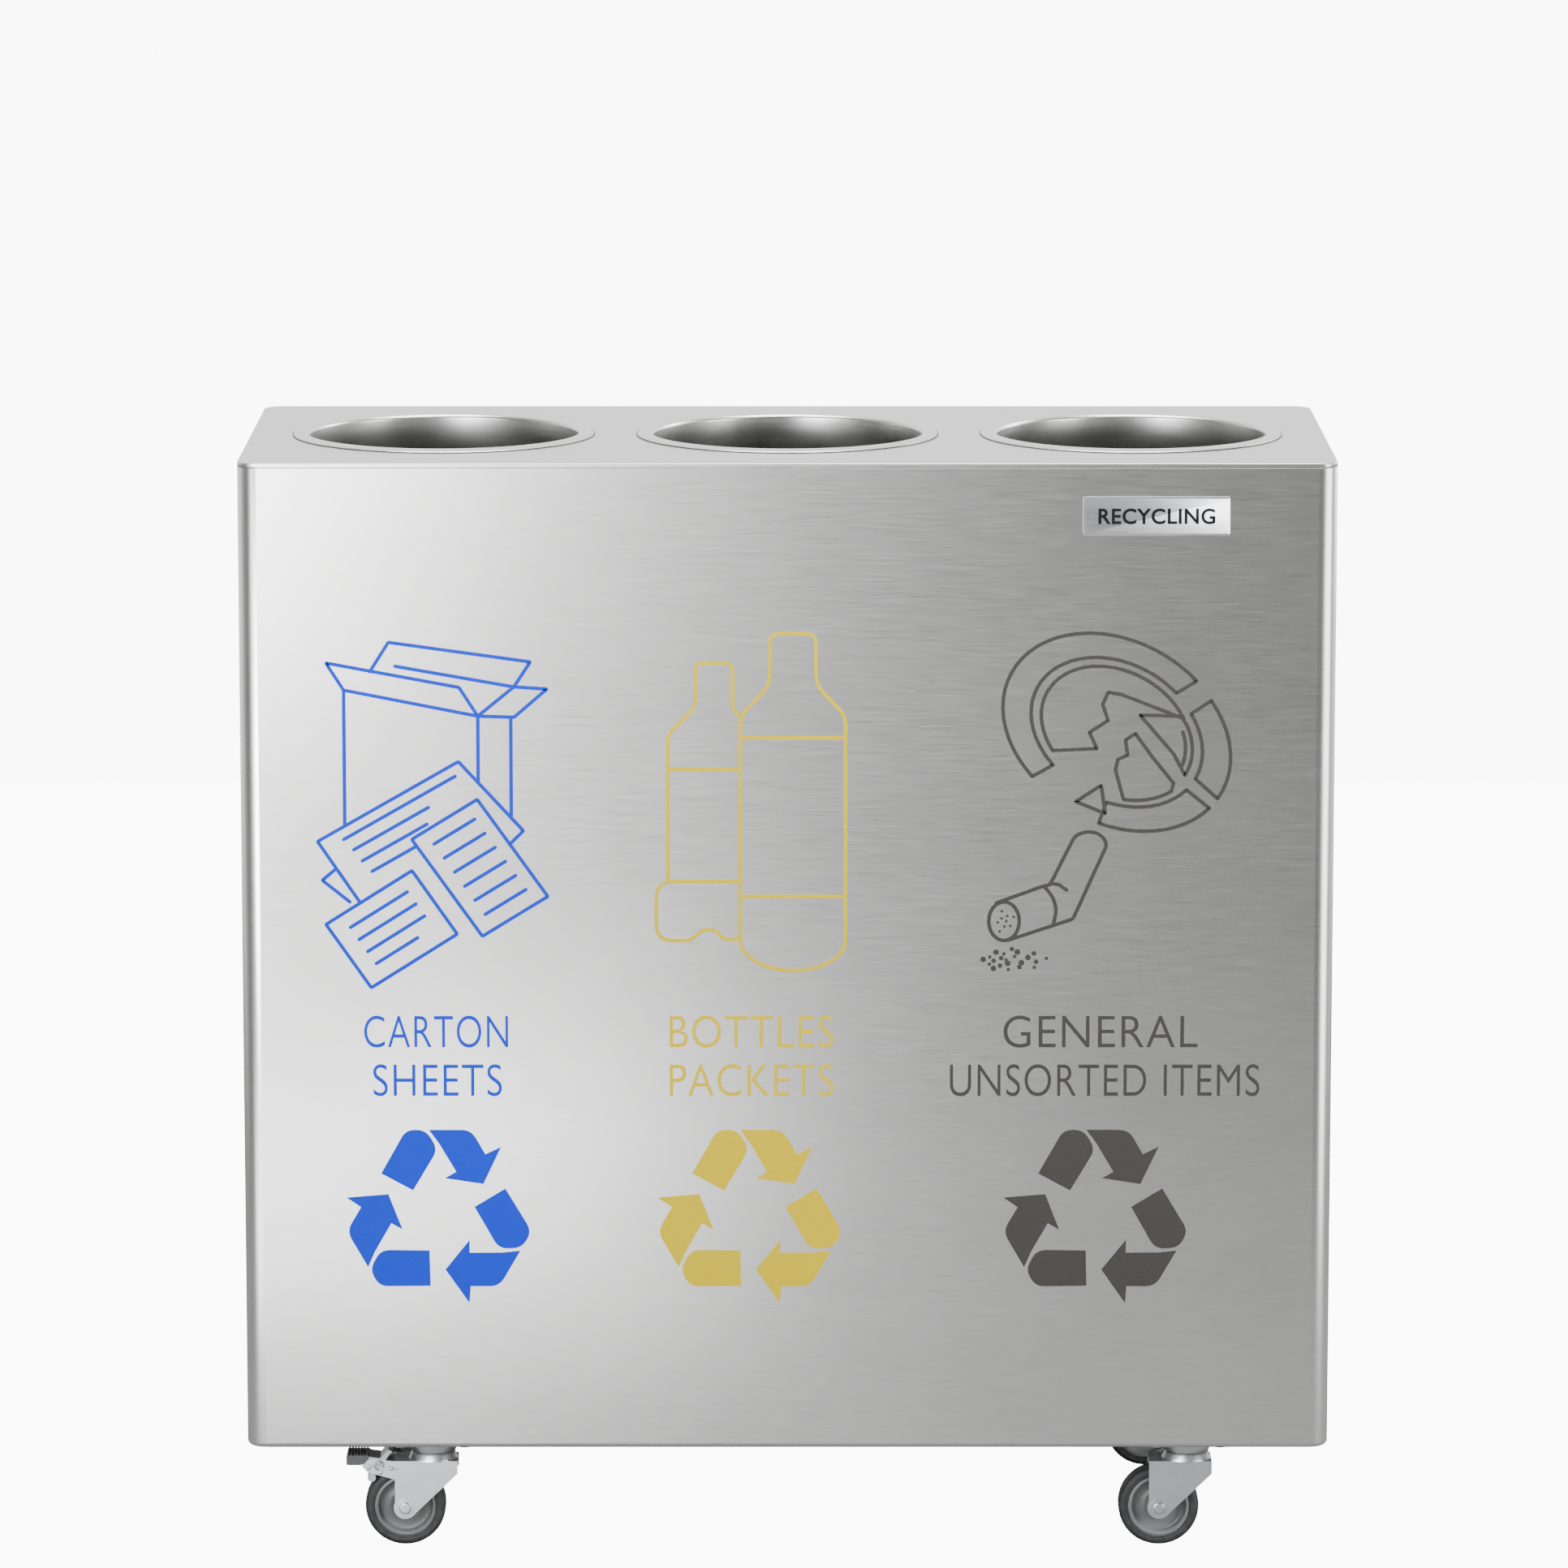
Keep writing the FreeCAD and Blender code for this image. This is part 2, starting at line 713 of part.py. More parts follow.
def make_king_pin(x, y):
    pin = Part.makeCylinder(king_pin_r, castor_height - crown_low, V(x, y, crown_low))
    head_z = crown_low - king_pin_head_t - king_pin_play
    head = Part.makeCylinder(king_pin_head_r, king_pin_head_t, V(x, y, head_z))
    neck = Part.makeCylinder(king_pin_r, king_pin_play + king_pin_head_t, V(x, y, head_z))
    return pin.fuse(head).fuse(neck).removeSplitter()


def leg_points(x, braked):
    """Side outline of a fork leg, with the nose that carries the brake pedal."""
    ax = x - castor_trail
    r = leg_end_r
    left = ax - leg_front
    left_z = wheel_r + math.sqrt(r * r - leg_front * leg_front)
    turn = math.radians(leg_rear_angle)
    points = [(left, left_z)]
    points += [(ax + r * math.cos(turn), wheel_r + r * math.sin(turn), ax, wheel_r - r)]
    points += [(x + crown_reach, crown_low - leg_shoulder), (x + crown_reach, race_low)]
    if braked:
        nose = ax - brake_reach
        _, pz = brake_pivot(x)
        points += [(left, race_low), (nose + nose_slope, pz + nose_top)]
        points += [(nose, pz - brake_boss_r / 4), (nose + nose_chamfer, pz - nose_low)]
        points += [(left, pz - nose_root)]
    else:
        points += [(left, race_low)]
    return points


def make_fork(x, y, braked):
    fork = None
    for side in (-1, 1):
        y0 = y + side * leg_in
        leg = plate_outline(leg_points(x, braked), min(y0, y0 + side * leg_t), leg_t)
        fork = leg if fork is None else fork.fuse(leg)
    left = x - castor_trail - leg_front
    crown = block(left, x + crown_reach, y - leg_out, y + leg_out, crown_low, race_low)
    race = Part.makeCone(race_r, race_r - race_taper, race_t, V(x, y, race_low))
    fork = fork.fuse(crown).fuse(race)
    fork = fork.cut(Part.makeCylinder(king_pin_r + king_pin_fit, castor_height, V(x, y, 0)))
    ax = x - castor_trail
    fork = fork.cut(rod(axle_r, V(ax, y - 2 * leg_out, wheel_r), V(ax, y + 2 * leg_out, wheel_r)))
    if braked:
        px, pz = brake_pivot(x)
        fork = fork.cut(rod(brake_pin_r + brake_fit, V(px, y - 2 * leg_out, pz), V(px, y + 2 * leg_out, pz)))
    return fork.removeSplitter()


def make_axle(x, y):
    ax = x - castor_trail
    shaft = rod(axle_r, V(ax, y - leg_out, wheel_r), V(ax, y + leg_out, wheel_r))
    for side in (-1, 1):
        start = V(ax, y + side * leg_out, wheel_r)
        head = rod(axle_head_r, start, start + V(0, side * axle_head_t, 0))
        rim = [e for e in head.Edges if abs(e.CenterOfMass.y - (y + side * (leg_out + axle_head_t))) < 1e-6]
        shaft = shaft.fuse(head.makeFillet(axle_head_t / 2, rim))
    return shaft.removeSplitter()


def make_wheel(x, y):
    half, web = rim_width / 2, web_t / 2
    hub = leg_in - hub_gap
    bore = axle_r + axle_fit
    chamfer = (rim_r - rim_recess_r) / 2
    profile = [
        (bore, -hub), (hub_r - hub_chamfer, -hub), (hub_r, -hub + hub_chamfer),
        (hub_r, -web - web_chamfer), (hub_r + web_chamfer, -web),
        (rim_recess_r - web_chamfer, -web), (rim_recess_r, -web - web_chamfer),
        (rim_recess_r, -half + chamfer / 2),
        (rim_recess_r + chamfer / 2, -half), (rim_r, -half),
    ]
    profile += [(r, -a) for r, a in reversed(profile)]
    return turned(profile, V(x - castor_trail, y, wheel_r), Y_AXIS)


def make_tyre(x, y):
    centre = V(x - castor_trail, y, wheel_r)
    band = rod(wheel_r, centre - V(0, wheel_width / 2, 0), centre + V(0, wheel_width / 2, 0))
    rims = [e for e in band.Edges if isinstance(e.Curve, Part.Circle)]
    band = band.makeFillet(tyre_shoulder, rims)
    seat_r = rim_r + tyre_seat
    return band.cut(rod(seat_r, centre - V(0, wheel_width, 0), centre + V(0, wheel_width, 0)))


def brake_pivot(x):
    """Centre of the pedal's pin, far enough from the axle for its boss to clear the tread."""
    reach = wheel_r + brake_boss_gap + brake_boss_r
    turn = math.radians(brake_at)
    return x - castor_trail + reach * math.cos(turn), wheel_r + reach * math.sin(turn)


def make_pedal(x, y):
    """Foot pedal, pressed down: a bar across it holds against the tread."""
    px, pz = brake_pivot(x)
    ax = x - castor_trail
    half = leg_in - pedal_side_gap
    boss = rod(brake_boss_r, V(px, y - half, pz), V(px, y + half, pz))
    tip = leg_out + brake_pin_tip
    pin = rod(brake_pin_r, V(px, y - tip, pz), V(px, y + tip, pz))
    reach = wheel_r + shoe_r + shoe_gap
    turn = math.radians(shoe_at)
    sx, sz = ax + reach * math.cos(turn), wheel_r + reach * math.sin(turn)
    shoe = rod(shoe_r, V(sx, y - half, sz), V(sx, y + half, sz))
    link = plate_outline(
        [(px - link_half, pz), (sx - shoe_r, sz), (sx + shoe_r / 2, sz + shoe_r / 4), (px + link_half, pz)],
        y - half, 2 * half,
    )
    pad_x0 = ax - pad_tip
    pad_x1 = pad_x0 + pad_length
    pad_z = pz + pad_rise
    low_z = pad_z - pad_t
    tread = plate_outline(
        [(pad_x0, low_z), (pad_x1, low_z - pad_slope), (px + arm_root, pz + arm_root / 2),
         (px + toe_reach, pz + toe_rise), (px + toe_reach - arm_t, pz + toe_rise + arm_t / 2),
         (px + arm_root - arm_t, pz + arm_root / 2 + arm_t), (pad_x1, pad_z), (pad_x0, pad_z + pad_slope / 2)],
        y - half, 2 * half,
    )
    return boss.fuse(pin).fuse(shoe).fuse(link).fuse(tread).removeSplitter()


# ---- Assembly ------------------------------------------------------------
keep("body_shell", make_body_shell())
keep("top_panel", make_top_panel())
keep("base_plate", make_base_plate())
keep("rear_frame", make_rear_frame())
for side_name, divider_x in zip(("left", "right"), divider_xs):
    keep(f"partition_{side_name}", make_partition(divider_x))
keep("collar_rings", *[make_collar_ring(x) for x in chute_xs])
keep("nameplate", make_nameplate())
keep("door_buffers", *make_buffers())
keep("hinge_frame_leaves", *[make_hinge_leaf(k, z, -1) for k in range(3) for z in hinge_lows()])
keep("hinge_pins", *[make_hinge_pin(k, z) for k in range(3) for z in hinge_lows()])
keep("bag_rings", *[make_bag_ring(x) for x in chute_xs])
for k, chute_x in enumerate(chute_xs):
    keep(f"chute_collar_{k + 1}", make_collar(chute_x))
    keep(f"bin_{k + 1}", make_bin(chute_x))
    keep(f"bin_bail_{k + 1}", make_bail(chute_x))
    keep(f"door_skin_{k + 1}", make_door_skin(k))
    keep(f"door_inner_pan_{k + 1}", make_door_pan(k))
    keep(f"door_hinge_leaves_{k + 1}", *[make_hinge_leaf(k, z, 1) for z in hinge_lows()])
    keep(f"latch_housing_{k + 1}", make_latch_housing(k))
    keep(f"latch_knob_{k + 1}", make_latch_knob(k))
    keep(f"latch_cam_{k + 1}", make_cam(k))

keep("castor_plates", *[make_castor_plate(x, y) for _, x, y, _ in castors])
keep("castor_bolts", *[bolt for _, x, y, _ in castors for bolt in make_bolts(x, y)])
keep("king_pins", *[make_king_pin(x, y) for _, x, y, _ in castors])
for place, castor_x, castor_y, has_brake in castors:
    keep(f"fork_{place}", make_fork(castor_x, castor_y, has_brake))
    keep(f"axle_{place}", make_axle(castor_x, castor_y))
    keep(f"wheel_{place}", make_wheel(castor_x, castor_y))
    keep(f"tyre_{place}", make_tyre(castor_x, castor_y))
    if has_brake:
        keep(f"brake_pedal_{place}", make_pedal(castor_x, castor_y))

os.makedirs("parts", exist_ok=True)
for name, solids in nodes.items():
    pieces = [s for shape in solids for s in shape.Solids]
    bad = [s for s in pieces if not s.isValid()]
    shape = pieces[0] if len(pieces) == 1 else Part.makeCompound(pieces)
    shape.exportStep(f"parts/{name}.step")
    box = shape.BoundBox
    print(
        f"{name}: {len(pieces)} solids, {len(bad)} bad, volume {shape.Volume / 1000:.1f} cm3,"
        f" x {box.XMin:.1f}..{box.XMax:.1f} y {box.YMin:.1f}..{box.YMax:.1f} z {box.ZMin:.1f}..{box.ZMax:.1f}"
    )
print(f"{len(nodes)} nodes")
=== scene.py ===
"""Looks and studio stage for a three-stream recycling bin station.

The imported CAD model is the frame. Pieces whose look needs more than the CAD
solid are built here in metres, in the same frame; the others keep their CAD
mesh and get softened edges and a procedural finish.
"""

import math

import bmesh
import bpy
from mathutils import Matrix, Vector


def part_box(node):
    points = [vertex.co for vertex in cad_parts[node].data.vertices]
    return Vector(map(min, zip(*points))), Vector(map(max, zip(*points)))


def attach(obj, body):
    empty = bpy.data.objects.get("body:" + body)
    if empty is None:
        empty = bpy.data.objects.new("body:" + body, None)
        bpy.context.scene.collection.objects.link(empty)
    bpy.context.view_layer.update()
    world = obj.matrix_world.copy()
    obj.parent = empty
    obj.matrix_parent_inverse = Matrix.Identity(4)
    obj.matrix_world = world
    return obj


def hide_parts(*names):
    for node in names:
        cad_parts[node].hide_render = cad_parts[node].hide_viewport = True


bl_info = {
    "name": "Recycling bin station",
    "version": (1, 0, 0),
    "blender": (4, 5, 0),
    "location": "View3D > Sidebar > Station",
    "description": "Builds the looks of a recycling bin station on its CAD frame",
    "category": "Object",
}

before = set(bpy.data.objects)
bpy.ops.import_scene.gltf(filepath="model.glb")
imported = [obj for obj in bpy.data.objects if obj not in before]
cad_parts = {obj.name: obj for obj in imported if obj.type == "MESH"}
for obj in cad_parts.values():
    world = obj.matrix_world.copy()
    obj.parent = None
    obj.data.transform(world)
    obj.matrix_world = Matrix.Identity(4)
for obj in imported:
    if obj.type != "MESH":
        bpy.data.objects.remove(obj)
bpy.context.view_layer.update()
MM = 0.001
STREAMS = ("left", "middle", "right")
CASTORS = ("front_left", "front_right", "rear_left", "rear_right")
BRAKED = ("front_left", "rear_left")

# Where the castor trim sits, from the wheel's centre
CASTOR_TRAIL = 0.026
FORK_HALF = 0.018
RIVETS = ((-0.0335, 0.0385), (-0.0225, 0.0335), (-0.0125, 0.0375))


def linear(code):
    """An sRGB hex colour as linear red, green, blue and alpha."""
    made = []
    for i in (1, 3, 5):
        c = int(code[i:i + 2], 16) / 255
        made.append(c / 12.92 if c <= 0.04045 else ((c + 0.055) / 1.055) ** 2.4)
    return (*made, 1.0)


# ---- Settings ------------------------------------------------------------
def length(name, text, default):
    return bpy.props.FloatProperty(name=name, description=text, default=default, unit="LENGTH", precision=5)


def colour(name, text, default):
    return bpy.props.FloatVectorProperty(
        name=name, description=text, default=linear(default), size=4, subtype="COLOR", min=0.0, max=1.0
    )


class StationSizes(bpy.types.PropertyGroup):
    """Sizes of the details that are only looks."""

    line_width: length("Line width", "Width of the printed lines", 0.0034)
    ink: length("Ink", "How far the print stands out from the panel", 0.00012)
    ink_step: length("Ink step", "Extra height of each printed line over the last one", 0.00001)
    letter: length("Letter height", "Height of the capital letters", 0.030)
    streak: length("Streak length", "Length of the brushing streaks in the steel", 0.055)
    grain: length("Streak height", "Spacing of the brushing streaks in the steel", 0.0011)
    edge: length("Edge rounding", "Rounding of the sheet metal's edges", 0.0004)


class StationColours(bpy.types.PropertyGroup):
    """Colours of the printed graphics and the moulded parts."""

    blue: colour("Blue", "Ink of the first column", "#0036D0")
    yellow: colour("Yellow", "Ink of the second column", "#D2B800")
    grey: colour("Grey", "Ink of the third column", "#3F3E3C")
    steel: colour("Steel", "Brushed stainless sheet", "#D6D6D5")
    zinc: colour("Zinc", "Plated steel of the castors", "#D3D6D8")
    tyre: colour("Tyre", "Grey castor rubber", "#38393B")
    rim: colour("Rim", "Moulded wheel centre", "#9A9C9D")
    dark: colour("Dark plastic", "Latch knobs, pads and bins", "#26282A")
    bin: colour("Bin", "Moulded bins", "#3B3F42")


def sizes():
    return bpy.context.scene.station_sizes


def colours():
    return bpy.context.scene.station_colours


# ---- Material helpers ----------------------------------------------------
def add_node(tree, kind, inputs=None, **settings):
    """A new node; inputs maps sockets to values or to the outputs that feed them."""
    node = tree.nodes.new(kind)
    for key, value in settings.items():
        setattr(node, key, value)
    for key, value in (inputs or {}).items():
        if isinstance(value, bpy.types.NodeSocket):
            tree.links.new(value, node.inputs[key])
        else:
            node.inputs[key].default_value = value
    return node


def fresh(name):
    """An empty material with a Principled shader: (material, tree, shader)."""
    material = bpy.data.materials.new(name)
    material.use_nodes = True
    tree = material.node_tree
    return material, tree, tree.nodes["Principled BSDF"]


def noise(tree, scale, detail=2.0, roughness=0.55):
    """Noise on object coordinates; scale gives patterns per metre along x, y and z."""
    coords = add_node(tree, "ShaderNodeTexCoord")
    mapped = add_node(
        tree, "ShaderNodeMapping", {"Vector": coords.outputs["Object"], "Scale": scale}
    )
    made = add_node(
        tree, "ShaderNodeTexNoise",
        {"Vector": mapped.outputs[0], "Scale": 1.0, "Detail": detail, "Roughness": roughness},
    )
    return made.outputs["Fac"]


def ranged(tree, value, low, high, start=0.3, end=0.7):
    """value from start..end mapped to low..high."""
    return add_node(
        tree, "ShaderNodeMapRange",
        {"Value": value, "From Min": start, "From Max": end, "To Min": low, "To Max": high},
    ).outputs[0]


def mixed(tree, factor, first, second, blend="MIX"):
    node = add_node(tree, "ShaderNodeMix", data_type="RGBA", blend_type=blend)
    for socket, value in ((node.inputs[0], factor), (node.inputs[6], first), (node.inputs[7], second)):
        if isinstance(value, bpy.types.NodeSocket):
            tree.links.new(value, socket)
        else:
            socket.default_value = value
    return node.outputs[2]


def shaded(rgba, factor):
    return tuple(min(1.0, c * factor) for c in rgba[:3]) + (1.0,)


def bumped(tree, height, distance, strength=1.0):
    return add_node(
        tree, "ShaderNodeBump", {"Height": height, "Distance": distance, "Strength": strength}
    ).outputs[0]


def feed(tree, shader, **inputs):
    for key, value in inputs.items():
        socket = shader.inputs[key.replace("_", " ")]
        if isinstance(value, bpy.types.NodeSocket):
            tree.links.new(value, socket)
        else:
            socket.default_value = value


# ---- Materials -----------------------------------------------------------
def brushed_sheet(name, upright=True, tone=1.0, rough=0.3, depth=1.0):
    """Brushed stainless: the eye gets long fine streaks, cloudy mill patches and a soft spread."""
    material, tree, shader = fresh(name)
    size = sizes()
    long, fine = 1 / size.streak, 1 / size.grain
    scale = (long, long, fine) if upright else (long, fine, fine)
    streaks = noise(tree, scale, 1.0, 0.5)
    hair = noise(tree, tuple(2.6 * s for s in scale), 1.0, 0.5)
    clouds = noise(tree, (5.0, 5.0, 9.0), 2.0, 0.5)
    both = mixed(tree, 0.6, streaks, hair)
    base = shaded(colours().steel, tone)
    tint = mixed(tree, ranged(tree, both, 0.0, 1.0, 0.15, 0.85), shaded(base, 0.93), shaded(base, 1.05))
    patch = mixed(tree, ranged(tree, clouds, 0.0, 1.0), (0.94, 0.94, 0.94, 1.0), (1.0, 1.0, 1.0, 1.0))
    feed(
        tree, shader, Metallic=1.0,
        Base_Color=mixed(tree, 1.0, tint, patch, "MULTIPLY"),
        Roughness=ranged(tree, both, rough - 0.05, rough + 0.07, 0.15, 0.85),
        Normal=bumped(tree, both, 0.000008 * depth, 0.5),
    )
    return material


def spun_steel(name):
    """Spun and polished steel of the chutes: fine rings of brushing and crisp highlights."""
    material, tree, shader = fresh(name)
    rings = noise(tree, (6.0, 6.0, 500.0), 0.0)
    clouds = noise(tree, (14.0, 14.0, 30.0), 2.0)
    base = colours().steel
    ringed = ranged(tree, rings, 0.0, 1.0, 0.2, 0.8)
    feed(
        tree, shader, Metallic=1.0,
        Base_Color=mixed(tree, ringed, shaded(base, 0.95), shaded(base, 1.03)),
        Roughness=ranged(tree, clouds, 0.28, 0.34),
    )
    return material


def zinc_plate(name, tone=1.0, rough=0.27):
    """Zinc-plated pressed steel: bright and satin, a little cloudy, with faint drawing marks."""
    material, tree, shader = fresh(name)
    clouds = noise(tree, (60.0, 60.0, 60.0), 3.0)
    marks = noise(tree, (120.0, 120.0, 900.0), 1.0)
    base = shaded(colours().zinc, tone)
    feed(
        tree, shader, Metallic=1.0,
        Base_Color=mixed(tree, ranged(tree, clouds, 0.0, 1.0), shaded(base, 0.93), base),
        Roughness=ranged(tree, clouds, rough + 0.05, rough - 0.03),
        Normal=bumped(tree, marks, 0.000004, 0.3),
    )
    return material


def moulded(name, rgba, rough=0.45, grain=1400.0, depth=0.00004):
    """Moulded plastic: a fine leather-like grain with slightly uneven gloss."""
    material, tree, shader = fresh(name)
    fine = noise(tree, (grain,) * 3, 2.0)
    broad = noise(tree, (18.0,) * 3, 3.0)
    feed(
        tree, shader,
        Base_Color=mixed(tree, ranged(tree, broad, 0.0, 1.0), shaded(rgba, 0.88), shaded(rgba, 1.08)),
        Roughness=ranged(tree, broad, rough - 0.06, rough + 0.08),
        Normal=bumped(tree, fine, depth, 0.5),
    )
    return material


def rubber(name, rgba):
    """Grey tread rubber: matt, with scuffs and a dusty bloom."""
    material, tree, shader = fresh(name)
    scuffs = noise(tree, (90.0, 500.0, 90.0), 4.0, 0.65)
    fine = noise(tree, (2200.0,) * 3, 2.0)
    dusty = mixed(tree, 0.35, rgba, linear("#8A8A88"))
    feed(
        tree, shader,
        Base_Color=mixed(tree, ranged(tree, scuffs, 0.0, 0.7, 0.45, 0.75), rgba, dusty),
        Roughness=ranged(tree, scuffs, 0.55, 0.8),
        Normal=bumped(tree, fine, 0.00006, 0.6),
    )
    return material


def screen_ink(name, rgba):
    """Screen-printed ink: even satin colour, slightly thinner in places, faint orange peel."""
    material, tree, shader = fresh(name)
    thin = noise(tree, (240.0, 40.0, 420.0), 2.0)
    peel = noise(tree, (900.0,) * 3, 1.0)
    feed(
        tree, shader,
        Base_Color=mixed(tree, ranged(tree, thin, 0.0, 1.0), shaded(rgba, 0.93), rgba),
        Roughness=ranged(tree, thin, 0.55, 0.65),
        Normal=bumped(tree, peel, 0.00001, 0.3),
    )
    shader.inputs["Specular IOR Level"].default_value = 0.1
    return material


def plate_metal(name):
    """Anodised nameplate: silvery, bright towards one end, very fine sideways brushing."""
    material, tree, shader = fresh(name)
    fine = noise(tree, (30.0, 900.0, 2600.0), 1.0)
    brushed = ranged(tree, fine, 0.0, 1.0, 0.15, 0.85)
    feed(
        tree, shader, Metallic=1.0,
        Base_Color=mixed(tree, brushed, linear("#D2D3D8"), linear("#E6E7EC")),
        Roughness=ranged(tree, fine, 0.34, 0.40),
        Normal=bumped(tree, fine, 0.000003, 0.2),
    )
    return material


finishes = {}


def library():
    """Every finish of the object by name, made once."""
    if not finishes:
        tint = colours()
        finishes.update({
            "sheet": brushed_sheet("brushed_sheet"),
            "top": brushed_sheet("brushed_top", upright=False, tone=0.98, rough=0.33),
            "inner": brushed_sheet("mill_sheet", tone=0.8, rough=0.42, depth=0.5),
            "spun": spun_steel("spun_steel"),
            "black": screen_ink("ink_black", linear("#161617")),
            "zinc": zinc_plate("zinc_plate", 1.0, 0.38),
            "hinge": zinc_plate("satin_steel", 0.9, 0.34),
            "wire": zinc_plate("drawn_wire", 0.95, 0.22),
            "pedal": zinc_plate("dark_zinc", 0.7, 0.38),
            "plate": plate_metal("plate_metal"),
            "tyre": rubber("tyre_rubber", tint.tyre),
            "buffer": rubber("buffer_rubber", tint.dark),
            "rim": moulded("rim_plastic", tint.rim, 0.42, 900.0),
            "knob": moulded("knob_plastic", tint.dark, 0.4),
            "pad": moulded("pad_plastic", linear("#7C7E81"), 0.5),
            "bin": moulded("bin_plastic", tint.bin, 0.48, 1100.0, 0.00007),
            "blue": screen_ink("ink_blue", tint.blue),
            "yellow": screen_ink("ink_yellow", tint.yellow),
            "grey": screen_ink("ink_grey", tint.grey),
        })
    return finishes


# ---- Mesh helpers --------------------------------------------------------
def add_piece(name, bm, body, finish, smooth=35.0):
    """Turns bm into a piece with smooth faces and sharp edges that rides on body."""
    mesh = bpy.data.meshes.new(name)
    bmesh.ops.recalc_face_normals(bm, faces=bm.faces)
    bm.to_mesh(mesh)
    bm.free()
    mesh.materials.append(library()[finish])
    mesh.shade_smooth()
    mesh.set_sharp_from_angle(angle=math.radians(smooth))
    made = bpy.data.objects.new(name, mesh)
    bpy.context.scene.collection.objects.link(made)
    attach(made, body)
    return made


def soften(made, width, segments=2, angle=32.0):
    """Rounds the edges of a piece, or of a CAD node, without touching its own vertices."""
    weld = made.modifiers.new("weld", "WELD")
    weld.merge_threshold = 0.00001
    bevel = made.modifiers.new("edges", "BEVEL")
    bevel.width = width
    bevel.segments = segments
    bevel.limit_method = "ANGLE"
    bevel.angle_limit = math.radians(angle)
    bevel.harden_normals = True


def revolve(bm, profile, centre, axis, steps=96):
    """Adds a closed profile of (radius, along) points turned fully about an axis."""
    axis = Vector(axis)
    side = axis.orthogonal().normalized()
    ring = [bm.verts.new(centre + side * r + axis * a) for r, a in profile]
    edges = [bm.edges.new(pair) for pair in zip(ring, ring[1:] + ring[:1])]
    bmesh.ops.spin(
        bm, geom=ring + edges, cent=centre, axis=axis, angle=math.tau, steps=steps, use_merge=True
    )
    bmesh.ops.remove_doubles(bm, verts=bm.verts, dist=1e-7)


def rounded_path(points, radius, closed=False, steps=5):
    """points with every inner corner turned into a short arc."""
    pts = [Vector(p) for p in points]
    made = []
    count = len(pts)
    for i, here in enumerate(pts):
        if not closed and i in (0, count - 1):
            made.append(here)
            continue
        before, after = pts[i - 1] - here, pts[(i + 1) % count] - here
        cut = min(radius, 0.45 * before.length, 0.45 * after.length)
        start, end = here + before.normalized() * cut, here + after.normalized() * cut
        for k in range(steps + 1):
            t = k / steps
            made.append(start * (1 - t) ** 2 + here * 2 * t * (1 - t) + end * t ** 2)
    return made


